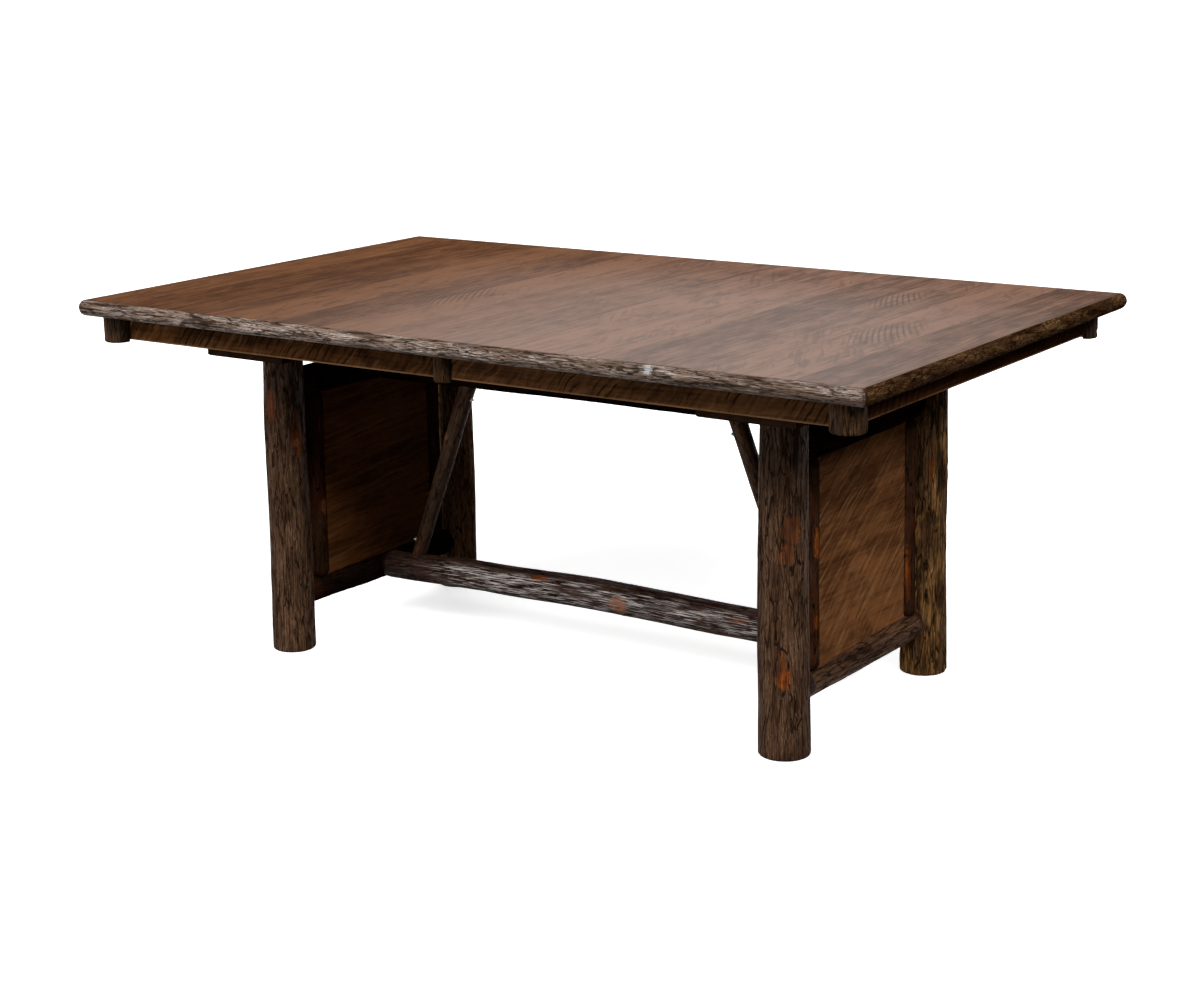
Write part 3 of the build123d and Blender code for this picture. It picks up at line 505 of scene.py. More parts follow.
@dataclass(frozen=True)
class TopFinish:
    """Stained boards of the top: tone by board, smudges, curl, saw ripples and pores.

    Attributes:
        name: the material's name.
        board: width of one board.
        light: colour of the light wood.
        deep: colour of the dark figure.
        grey: paler, greyer colour that the right half drifts to, a painted sheen of reflected light.
        smudge: colour of the dark smudges.
        ripple: colour of the saw ripples.
        pore: colour of the pores.
        ripple_patches: middle and half size of each patch of saw ripples, across and along the boards.
        ripple_pitch: distance between two ripples.
    """

    name: str
    board: float
    light: Colour = tint(109, 72, 46)
    deep: Colour = tint(70, 43, 27)
    grey: Colour = tint(121, 87, 68)
    smudge: Colour = tint(54, 37, 28)
    ripple: Colour = tint(54, 37, 29)
    pore: Colour = tint(52, 34, 25)
    ripple_patches: tuple[tuple[float, float, float, float], ...] = (
        (0.70, -0.09, 0.062, 0.15), (-0.25, -0.14, 0.06, 0.15), (0.55, 0.25, 0.05, 0.12))
    ripple_pitch: float = 24 * MM

    def figure(self, graph: Graph, wood: Wires, turned: Wire, own: Wire) -> Wire:
        """How dark the wood is, from its bands, blotches and board.

        Args:
            graph: the material's graph.
            wood: outputs of the wood streaks group.
            turned: place on the top, with the grain along Z.
            own: random value of the board.

        Returns:
            The value.
        """
        blotch = graph.noise(turned, (9, 1, 3.0), 5.0, 0.62, 0.8)
        grain = graph.noise(turned, (42, 1, 3.4), 6.0, 0.68, 0.5)
        cloud = graph.noise(turned, (26, 1, 13), 6.0, 0.70, 0.3)
        figure = wood["Broad"] * 0.12 + blotch * 0.28 + grain * 0.25 + cloud * 0.35
        return figure + (own - 0.5) * 0.14 + (wood["Fine"] - 0.5) * 0.42

    def ripples(self, graph: Graph, effects: Effects, place: Wires) -> Wire:
        """Strength of the saw ripples, which are clear in a few patches.

        Args:
            graph: the material's graph.
            effects: the shared node groups.
            place: axes of the point on the top.

        Returns:
            The strength.
        """
        strength = 0.0
        for x, y, half_across, half_along in self.ripple_patches:
            across, along = place["X"] - x, place["Y"] - y
            marks = graph.add("Group", {"Vector": graph.point(along, across), "Pitch": self.ripple_pitch,
                                        "Lean": -2.0, "Curve": 5.0, "Wobble": 0.3}, node_tree=effects.saw_marks)
            reach = graph.add("VectorMath", {0: graph.point(across / half_across, along / half_along)},
                              operation="LENGTH")["Value"]
            strength = (marks["Wave"] * reach.span(0.5, 1.1, 0.8, 0.0)).most(strength)
        return strength

    def make(self, effects: Effects) -> bpy.types.Material:
        """Build the material.

        Args:
            effects: the shared node groups.

        Returns:
            The finished material.
        """
        material, graph, shader = start_material(self.name)
        place = graph.place()
        x, y = place["X"], place["Y"]
        seed = (x / self.board).sum("FLOOR") * 3.71
        turned = graph.point(x, seed, y)
        wood = graph.add("Group", {"Vector": turned, "Bend": 0.05}, node_tree=effects.streaks)
        own = graph.add("TexWhiteNoise", {"W": seed}, noise_dimensions="1D")["Value"]
        figure = self.figure(graph, wood, turned, own)
        # Painted sheen: the wood turns paler and greyer towards the right half.
        light = graph.mix(x.span(-0.7, 0.5), self.light, self.grey)
        colour = graph.mix(figure.span(0.38, 0.67), light, self.deep)
        dashes = graph.noise(turned, (34, 1, 10), 6.0, 0.68, 0.4).span(0.53, 0.64)
        fields = graph.noise(turned, (3.5, 0.6, 2.2), 2.0).span(0.38, 0.55)
        colour = graph.mix(dashes * fields * 0.6, colour, self.smudge)
        slant = (y + x * 2.0) * 38.0
        curl = graph.noise(graph.point(slant, y * 9.0, seed), 1.0, 3.0, 0.6, 0.2).span(0.50, 0.66)
        patch = graph.noise(turned, 5.0, 2.0).span(0.46, 0.62)
        colour = graph.mix(curl * patch * 0.5, colour, self.deep)
        ripples = self.ripples(graph, effects, place)
        colour = graph.mix(ripples * 0.85, colour, self.ripple)
        graph.feed(shader, {
            "Base Color": graph.mix(wood["Pores"] * 0.30, colour, self.pore),
            "Roughness": figure.span(0.3, 0.8, 0.32, 0.42),
            "Specular IOR Level": 0.0,
            "Coat Roughness": 0.35,
            "Coat Weight": x.span(-0.75, 0.15, 0.03, 0.35) * y.span(0.05, 0.52, 1.0, 0.40),
            "Normal": graph.bump(wood["Fine"] * 0.4 + ripples * -0.8, 0.25, 0.25 * MM),
        })
        return material


@dataclass(frozen=True)
class SawnFinish:
    """Stained wood with the leaning marks of a saw, for aprons, panels and plain bars.

    Attributes:
        name: the material's name.
        along: axis that the grain runs along, as a letter.
        across: axis across the board's face, as a letter.
        light: colour of the light wood.
        deep: colour of the dark figure.
        pitch: distance between two saw marks.
        lean: how far a mark runs along the board for each unit across it.
        curve: how much a mark bends.
        marking: how strongly the dark marks show.
        shine: how strongly pale streaks show along the marks.
        shine_colour: colour of those streaks.
        roughness: roughness of the finish.
        wobble: how unevenly the marks are spaced, in pitches.
        edges: whether a painted highlight shows along the lower edge.
        worn: colour of that painted highlight.
    """

    name: str
    along: str
    across: str
    light: Colour
    deep: Colour
    pitch: float = 20 * MM
    lean: float = 0.5
    curve: float = 0.0
    marking: float = 0.5
    shine: float = 0.0
    shine_colour: Colour = tint(160, 118, 78)
    roughness: float = 0.5
    wobble: float = 0.9
    edges: bool = False
    worn: Colour = tint(150, 112, 80)

    def make(self, effects: Effects) -> bpy.types.Material:
        """Build the material.

        Args:
            effects: the shared node groups.

        Returns:
            The finished material.
        """
        material, graph, shader = start_material(self.name)
        place = graph.place()
        through = next(axis for axis in "XYZ" if axis not in (self.along, self.across))
        turned = graph.point(place[self.across], place[through], place[self.along])
        wood = graph.add("Group", {"Vector": turned, "Bend": 0.03}, node_tree=effects.streaks)
        blotch = graph.noise(turned, (14, 14, 7), 4.0, 0.6, 0.6)
        figure = wood["Broad"] * 0.5 + blotch * 0.5 + (wood["Fine"] - 0.5) * 0.35
        colour = graph.mix(figure.span(0.36, 0.66), self.light, self.deep)
        flat = graph.point(place[self.along], place[self.across])
        marks = graph.add("Group", {"Vector": flat, "Pitch": self.pitch, "Lean": self.lean, "Curve": self.curve,
                                    "Wobble": self.wobble}, node_tree=effects.saw_marks)
        colour = graph.mix(marks["Streaks"].span(0.48, 0.72) * self.shine, colour, self.shine_colour)
        dark = marks["Lines"].most(marks["Streaks"].span(0.47, 0.30) * 0.8)
        colour = graph.mix(dark * self.marking, colour, darker(self.deep, 0.3))
        colour = graph.mix(wood["Pores"] * 0.4, colour, darker(self.deep, 0.4))
        # Painted highlight: a pale band along the apron's lower edge, where light catches it.
        if self.edges:
            worn = graph.attribute("edge").span(0.93, 1.0) * blotch.span(0.3, 0.6, 0.2, 0.8)
            colour = graph.mix(worn, colour, self.worn)
        graph.feed(shader, {
            "Base Color": colour,
            "Roughness": self.roughness,
            "Specular IOR Level": 0.0,
            "Normal": graph.bump(wood["Fine"] * 0.6 + dark * -1.0, 0.5, 0.4 * MM),
        })
        return material


@dataclass(frozen=True)
class MetalFinish:
    """Brushed or plated metal with dull patches.

    Attributes:
        name: the material's name.
        bright: colour of the clean metal.
        dull: colour of the tarnished patches.
        roughness: roughness of the clean metal.
    """

    name: str
    bright: Colour
    dull: Colour
    roughness: float

    def make(self, _effects: Effects) -> bpy.types.Material:
        """Build the material, which needs no shared group."""
        material, graph, shader = start_material(self.name)
        place = graph.add("TexCoord")["Object"]
        patches = graph.noise(place, 90.0, 5.0, 0.65)
        brush = graph.noise(place, (900, 120, 900), 2.0)
        rough = patches.span(0.35, 0.7, self.roughness, self.roughness + 0.25)
        graph.feed(shader, {
            "Base Color": graph.mix(patches.span(0.42, 0.68), self.bright, self.dull),
            "Metallic": 1.0,
            "Roughness": rough + brush * 0.08,
            "Normal": graph.bump(brush, 0.15, 0.1 * MM),
        })
        return material


# ---- bark shapes -------------------------------------------------------------------------------
class Mark(Enum):
    """What has happened to the bark at one place."""

    SCAR = "scar"
    KNOT = "knot"


@dataclass(frozen=True)
class BarkMark:
    """A scar or a knot on a pole.

    Attributes:
        kind: scar or knot.
        along: distance from the pole's start.
        angle: direction around the pole, in degrees.
        length: size along the pole.
        width: size around the pole.
        strength: how much of the bark it has taken.
    """

    kind: Mark
    along: float
    angle: float
    length: float
    width: float
    strength: float = 1.0

    def spread(self, along: float, angle: float, radius: float) -> float:
        """Distance from the mark's middle, with 1 at its rim.

        Args:
            along: distance of the point from the pole's start.
            angle: direction of the point, in radians.
            radius: radius of the pole there.

        Returns:
            The distance as a share of the mark's half size.
        """
        turn = (angle - math.radians(self.angle) + math.pi) % math.tau - math.pi
        return math.hypot((along - self.along) / (self.length / 2), turn * radius / (self.width / 2))


@dataclass(frozen=True)
class BarkSkin:
    """How far bark stands in and out.

    Attributes:
        depth: depth of the fissures.
        across: width of a plate between fissures.
        along: length of a plate.
        wander: how far the fissures wander sideways.
        opening: share of a plate that the fissure's sides take.
        lumps: size of the slow swellings of the whole pole.
        seed: shifts the whole pattern.
    """

    depth: float
    across: float
    along: float
    wander: float
    opening: float
    lumps: float
    seed: float = 0.0

    def moved(self, seed: float) -> BarkSkin:
        """The same bark with its pattern shifted."""
        return replace(self, seed=seed)

    def grain(self, spot: Vector) -> Vector:
        """Place in the shifted pattern."""
        return spot + Vector((self.seed, self.seed * 0.7, self.seed * 1.3))

    def relief(self, spot: Vector) -> float:
        """Height of the bark at a point, from 0 in a crack to 1 on a ridge.

        Args:
            spot: the point, with the pole along Z.

        Returns:
            The height.
        """
        spot = self.grain(spot)
        drift = noise.noise_vector(Vector((spot.x * 60, spot.y * 60, spot.z * 20))) * self.wander
        x, y, z = (spot.x + drift.x) / self.across, (spot.y + drift.y) / self.across, spot.z / self.along
        near = noise.voronoi(Vector((x, y, z)))[0]
        rough = noise.noise(Vector((x * 2.7, y * 2.7, z * 4.0)))
        return smooth((near[1] - near[0]) / self.opening) * (0.82 + 0.36 * rough)

    def swelling(self, spot: Vector) -> float:
        """Slow swelling of the pole at a point."""
        spot = self.grain(spot)
        return self.lumps * noise.noise(Vector((spot.x * 22, spot.y * 22, spot.z * 9)))


@dataclass(frozen=True)
class PoleEnd:
    """How a pole ends: a plain rounded end, or a shoulder and a round tenon.

    Attributes:
        rounding: radius over the edge of a plain end.
        tenon_radius: radius of the tenon, or 0 for a plain end.
        tenon_length: length of the tenon.
        shoulder: length of the rounded shoulder behind it.
    """

    rounding: float = 1.5 * MM
    tenon_radius: float = 0.0
    tenon_length: float = 0.0
    shoulder: float = 0.0

    @property
    def length(self) -> float:
        """Length of everything that isn't the pole's body."""
        return self.tenon_length + self.shoulder if self.tenon_radius else self.rounding

    def radius(self, body: float, inset: float) -> float:
        """Radius at a distance in from the very end.

        Args:
            body: radius of the pole's body there.
            inset: distance from the end.

        Returns:
            The radius.
        """
        if inset >= self.length:
            return body
        if not self.tenon_radius:
            share = 1 - inset / self.rounding
            return body - self.rounding * (1 - math.sqrt(1 - share * share))
        if inset <= self.tenon_length:
            return self.tenon_radius
        share = 1 - (inset - self.tenon_length) / self.shoulder
        return blend(self.tenon_radius, body, math.sqrt(1 - share * share))

    def cover(self, inset: float) -> float:
        """Share of the bark that is left at a distance from the end."""
        if not self.tenon_radius:
            return 1.0
        return smooth(inset, self.length - 4 * MM, self.length + 5 * MM)

    def levels(self) -> list[float]:
        """Distances from the end at which rings of points are needed."""
        if not self.tenon_radius:
            return [self.rounding * share for share in (0.0, 0.1, 0.3, 0.6)]
        steps = 10
        arc = [self.shoulder * (1 - math.cos(math.pi / 2 * step / steps)) for step in range(steps)]
        return [0.0, *[self.tenon_length + rise for rise in arc]]


class Layers:
    """Values that a bark mesh carries for its finish."""

    NAMES = ("relief", "bare", "scar", "knot")

    def __init__(self, shape: bmesh.types.BMesh) -> None:
        """Args:
            shape: the mesh that receives the layers.
        """
        self.grain = shape.verts.layers.float_vector.new("grain")
        self.values = {name: shape.verts.layers.float.new(name) for name in self.NAMES}

    def write(self, vertex: bmesh.types.BMVert, grain: Vector, *values: float) -> None:
        """Set a vertex's grain place and its values, in the order of their names."""
        vertex[self.grain] = grain
        for name, value in zip(self.NAMES, values):
            vertex[self.values[name]] = value


def unit_tube(ring: int, rows: int) -> bmesh.types.BMesh:
    """Closed tube of radius 1 from Z 0 to 1.

    Args:
        ring: number of faces around.
        rows: number of faces along.

    Returns:
        The tube's mesh.
    """
    shape = bmesh.new()
    bmesh.ops.create_cone(shape, cap_ends=True, cap_tris=True, segments=ring, radius1=1.0, radius2=1.0, depth=1.0)
    bmesh.ops.translate(shape, vec=(0, 0, 0.5), verts=shape.verts)
    long_edges = [edge for edge in shape.edges if abs(edge.verts[0].co.z - edge.verts[1].co.z) > 0.5]
    bmesh.ops.subdivide_edges(shape, edges=long_edges, cuts=rows - 1)
    return shape


def tube_points(shape: bmesh.types.BMesh, rows: int) -> Iterator[tuple[bmesh.types.BMVert, int, float, float]]:
    """Walk over the points of a unit tube.

    Args:
        shape: the tube's mesh.
        rows: number of faces along it.

    Yields:
        Each vertex, the number of its ring, its distance from the axis and its direction.
    """
    for vertex in shape.verts:
        x, y, z = vertex.co
        yield vertex, round(z * rows), math.hypot(x, y), math.atan2(y, x)


@dataclass
class Pole:
    """A barked pole between two points.

    Attributes:
        start: middle of its first end.
        end: middle of its last end.
        zero: direction that angle 0 points in.
        ninety: direction that angle 90 points in.
        stations: share of the length, radius and sideways shift at places along it.
        first: how it starts.
        last: how it ends.
        skin: its bark.
        marks: its scars and knots.
        spacing: distance between neighbouring points around it.
    """

    start: Vector
    end: Vector
    zero: Vector
    ninety: Vector
    stations: tuple[Station, ...]
    first: PoleEnd
    last: PoleEnd
    skin: BarkSkin
    marks: tuple[BarkMark, ...] = ()
    spacing: float = 1.6 * MM

    def body(self, share: float) -> tuple[float, float, float]:
        """Radius and sideways shift at a share of the length."""
        for (low, *first), (high, *second) in zip(self.stations, self.stations[1:]):
            if share <= high:
                part = smooth(share, low, high)
                return tuple(blend(a, b, part) for a, b in zip(first, second))
        return self.stations[-1][1:]

    def levels(self) -> list[float]:
        """Distances along the pole of its rings of points."""
        length = (self.end - self.start).length
        low, high = self.first.length, length - self.last.length
        count = max(int((high - low) / (self.spacing * 1.5)), 2)
        middle = [blend(low, high, step / count) for step in range(count + 1)]
        return self.first.levels() + middle + [length - inset for inset in reversed(self.last.levels())]

    def mark_values(self, along: float, angle: float, radius: float, spot: Vector) -> tuple[float, float, float]:
        """How much scar and knot there is at a point, and how far they move the surface.

        Args:
            along: distance from the pole's start.
            angle: direction around it, in radians.
            radius: radius of its body there.
            spot: the point in the pole's own frame.

        Returns:
            The scar, the knot and the shift outwards.
        """
        scar = knot = shift = 0.0
        for mark in self.marks:
            spread = mark.spread(along, angle, radius)
            if spread > 1.8:
                continue
            ragged = spread + 0.22 * noise.noise(spot * 140) + 0.12 * noise.noise(spot * 420)
            if mark.kind is Mark.SCAR:
                here = (1 - smooth(ragged, 0.66, 1.0)) * mark.strength
                scar = max(scar, here)
                shift += -0.5 * MM * here + 0.7 * MM * math.exp(-((ragged - 1.12) / 0.2) ** 2)
            else:
                here = 1 - smooth(ragged, 0.75, 1.0)
                knot = max(knot, here * (0.72 + 0.28 * math.cos(spread * 13)))
                shift += here * (1.0 * MM * (1 - spread * spread) + 0.25 * MM * math.cos(spread * 13))
                shift += 1.2 * MM * math.exp(-((ragged - 1.15) / 0.22) ** 2)
                shift -= 1.6 * MM * math.exp(-(spread / 0.22) ** 2)
        return scar, knot, shift

    def build(self) -> bmesh.types.BMesh:
        """Mesh of the pole in the table's frame, with its bark in relief."""
        axis = self.end - self.start
        length = axis.length
        axis.normalize()
        levels = self.levels()
        rows = len(levels) - 1
        widest = max(radius for _, radius, *_ in self.stations)
        shape = unit_tube(int(math.tau * widest / self.spacing), rows)
        layers = Layers(shape)
        for vertex, level, rim, angle in tube_points(shape, rows):
            along = levels[level]
            body, aside, across = self.body(along / length)
            radius = self.last.radius(self.first.radius(body, along), length - along)
            cover = self.first.cover(along) * self.last.cover(length - along)
            spot = Vector((math.cos(angle) * body * rim, math.sin(angle) * body * rim, along))
            relief = self.skin.relief(spot)
            scar, knot, shift = self.mark_values(along, angle, body, spot)
            bark = cover * (1 - max(scar, knot))
            if rim > 0.5:
                radius += cover * (shift + self.skin.swelling(spot)) - bark * self.skin.depth * (1 - relief)
                radius -= cover * scar * self.skin.depth * 0.7
            out = self.zero * math.cos(angle) + self.ninety * math.sin(angle)
            vertex.co = self.start + axis * along + out * radius * rim + self.zero * aside + self.ninety * across
            layers.write(vertex, self.skin.grain(spot), blend(relief, 0.6, max(1 - cover, scar, knot)),
                         max(1 - cover, 1.0 - smooth(rim, 0.5, 0.9)), scar * cover, knot * cover)
        bmesh.ops.recalc_face_normals(shape, faces=shape.faces)
        return shape


@dataclass
class Post:
    """A short upright bark post with a part of its round cut away to fit an apron.

    Attributes:
        centre: its axis, on the floor plan.
        low: height of its lower end.
        high: height of its upper end.
        radius: its radius.
        facing: direction of the middle of its round part, in degrees.
        round_part: how many degrees of it are round.
        skin: its bark.
        rounding: radius over its lower edge.
        spacing: distance between neighbouring points.
    """

    centre: Vector
    low: float
    high: float
    radius: float
    facing: float
    round_part: float
    skin: BarkSkin
    rounding: float = 5 * MM
    spacing: float = 1.7 * MM

    ROUND_SHARE = 0.80

    def section(self, share: float) -> tuple[float, float, float]:
        """Place on the section's outline.

        Args:
            share: place along the outline, from 0 to 1.

        Returns:
            The angle, the distance from the axis as a share of the radius, and the share of bark.
        """
        half = math.radians(self.round_part) / 2
        middle = math.radians(self.facing)
        if share <= self.ROUND_SHARE:
            place = share / self.ROUND_SHARE
            return middle - half + 2 * half * place, 1.0, smooth(min(place, 1 - place), 0.0, 0.03)
        place = (share - self.ROUND_SHARE) / (1 - self.ROUND_SHARE)
        return middle + (half if place < 0.5 else -half), max(abs(1 - 2 * place), 0.004), 0.0

    def build(self) -> bmesh.types.BMesh:
        """Mesh of the post in the table's frame."""
        height = self.high - self.low
        count = int(height / self.spacing)
        levels = [self.rounding * share for share in (0.0, 0.12, 0.35, 0.65)]
        levels += [blend(self.rounding, height, step / count) for step in range(count + 1)]
        rows = len(levels) - 1
        shape = unit_tube(int(math.tau * self.radius / self.spacing), rows)
        layers = Layers(shape)
        middle = math.radians(self.facing)
        inward = Vector((math.cos(middle), math.sin(middle), 0)) * self.radius * 0.35
        for vertex, level, rim, turn in tube_points(shape, rows):
            up = levels[level]
            angle, reach, bark = self.section((turn / math.tau) % 1.0)
            out = Vector((math.cos(angle), math.sin(angle), 0))
            spot = out * self.radius * reach + Vector((0, 0, up))
            relief = self.skin.relief(spot)
            place, bare = self.centre + inward, 1.0
            if rim > 0.5:
                radius = self.radius * reach + bark * (self.skin.swelling(spot) - self.skin.depth * (1 - relief))
                if up < self.rounding:
                    away = 1 - up / self.rounding
                    radius -= reach * self.rounding * (1 - math.sqrt(1 - away * away))
                place, bare = self.centre + out * radius, 1 - bark
            vertex.co = Vector((place.x, place.y, self.low + up))
            layers.write(vertex, self.skin.grain(spot), blend(0.6, relief, bark), bare, 0.0, 0.0)
        bmesh.ops.recalc_face_normals(shape, faces=shape.faces)
        return shape


@dataclass
class Edging:
    """A half-round bark strip along one side of the top.

    Attributes:
        along: direction of the strip.
        outward: direction away from the boards.
        start: distance along the strip's line where it starts.
        end: distance where the boards end and the last corner begins.
        base: distance of the strip's flat back from the table's middle.
        low: height of its lower edge.
        high: height of its upper edge.
        depth: how far it stands out.
        corners: how round its first and last corners are, or None for a square cut.
        skin: its bark.
        marks: its pale places, whose width is taken to go right around.
        spacing: distance between neighbouring points.
    """

    along: Vector
    outward: Vector
    start: float
    end: float
    base: float
    low: float
    high: float
    depth: float
    corners: tuple[float | None, float | None]
    skin: BarkSkin
    marks: tuple[BarkMark, ...] = ()
    spacing: float = 1.7 * MM

    ARC_SHARE = 0.55
    TURN_STEPS = 7

    def rows(self) -> list[tuple[float, float]]:
        """Distance along the strip and share of the corner's turn, at each ring of points."""
        count = int((self.end - self.start) / self.spacing)
        turn = [step / self.TURN_STEPS for step in range(1, self.TURN_STEPS + 1)]
        rings = [(blend(self.start, self.end, step / count), 0.0) for step in range(count + 1)]
        if self.corners[0] is not None:
            rings = [(self.start, -share) for share in reversed(turn)] + rings
        if self.corners[1] is not None:
            rings += [(self.end, share) for share in turn]
        return rings

    def section(self, share: float) -> tuple[float, float, float]:
        """Distance out, height share and bark share at a place on the outline."""
        if share <= self.ARC_SHARE:
            half = (self.high - self.low) / 2
            radius = (half * half + self.depth * self.depth) / (2 * self.depth)
            angle = math.asin(half / radius) * (2 * share / self.ARC_SHARE - 1)
            out = (radius * math.cos(angle) - radius + self.depth) / self.depth
            return out, radius * math.sin(angle) / half, smooth(out, -0.15, 0.30)
        back = (share - self.ARC_SHARE) / (1 - self.ARC_SHARE)
        return 0.0, 1 - 2 * back, 0.0

    def place(self, distance: float, turn: float, out: float) -> tuple[Vector, Vector]:
        """Point of the floor plan, and its outward direction.

        Args:
            distance: distance along the strip.
            turn: share of the corner's turn, negative at the first corner.
            out: distance out from the flat back.

        Returns:
            The point and the direction.
        """
        heading = self.along if turn >= 0 else -self.along
        roundness = self.corners[1] if turn > 0 else self.corners[0]
        angle = abs(turn) * math.pi / 4
        sharp = heading * (abs(turn) * out) + self.outward * out
        curved = heading * (math.sin(angle) * out) + self.outward * (math.cos(angle) * out)
        facing = self.outward * math.cos(angle) + heading * math.sin(angle)
        return self.along * distance + self.outward * self.base + sharp.lerp(curved, roundness or 0.0), facing

    def knot(self, run: float, out: float, up: float, spot: Vector) -> float:
        """Share of the strip's pale places at a point.

        Args:
            run: distance along the strip.
            out: distance out, as a share of the depth.
            up: height, as a share of half the strip's height.
            spot: the point in the strip's own frame.

        Returns:
            The share.
        """
        knot = 0.0
        for mark in self.marks:
            turn = math.radians(mark.angle) - math.atan2(up, out)
            spread = math.hypot((run - mark.along) / (mark.length / 2), turn)
            ragged = spread + 0.45 * noise.noise(spot * 260) + 0.2 * noise.noise(spot * 600)
            knot = max(knot, 0.75 * (1 - smooth(ragged, 0.4, 1.0)))
        return knot

    def build(self) -> bmesh.types.BMesh:
        """Mesh of the strip in the table's frame."""
        half = (self.high - self.low) / 2
        middle = (self.high + self.low) / 2
        rings = self.rows()
        shape = unit_tube(int(2.3 * half / self.spacing / self.ARC_SHARE), len(rings) - 1)
        layers = Layers(shape)
        for vertex, level, rim, direction in tube_points(shape, len(rings) - 1):
            distance, turn = rings[level]
            out, up, bark = self.section((direction / math.tau) % 1.0)
            bare = 0.8 * smooth(abs(turn), 0.05, 0.5)
            if rim < 0.5:
                out, up, bark, bare = 0.4, 0.0, 0.0, 1.0
            run = distance + turn * self.depth * 0.8
            spot = Vector((out * half, up * half, run))
            relief = self.skin.relief(spot)
            shift = bark * (self.skin.swelling(spot) - self.skin.depth * (1 - relief))
            plan, facing = self.place(distance, turn, out * self.depth)
            lift = facing * (max(out, 0.3) * shift) + Vector((0, 0, up * 0.7 * shift))
            vertex.co = plan + Vector((0, 0, middle + up * half)) + lift
            layers.write(vertex, self.skin.grain(spot), blend(0.7, relief, bark), bare, 0.0,
                         self.knot(run, out, up, spot))
        bmesh.ops.recalc_face_normals(shape, faces=shape.faces)
        return shape


def block(size: Vector, middle: Vector) -> bmesh.types.BMesh:
    """Mesh of a plain block, from its size and its middle."""
    shape = bmesh.new()
    bmesh.ops.create_cube(shape, size=1.0)
    bmesh.ops.scale(shape, vec=size, verts=shape.verts)
    bmesh.ops.translate(shape, vec=middle, verts=shape.verts)
    return shape


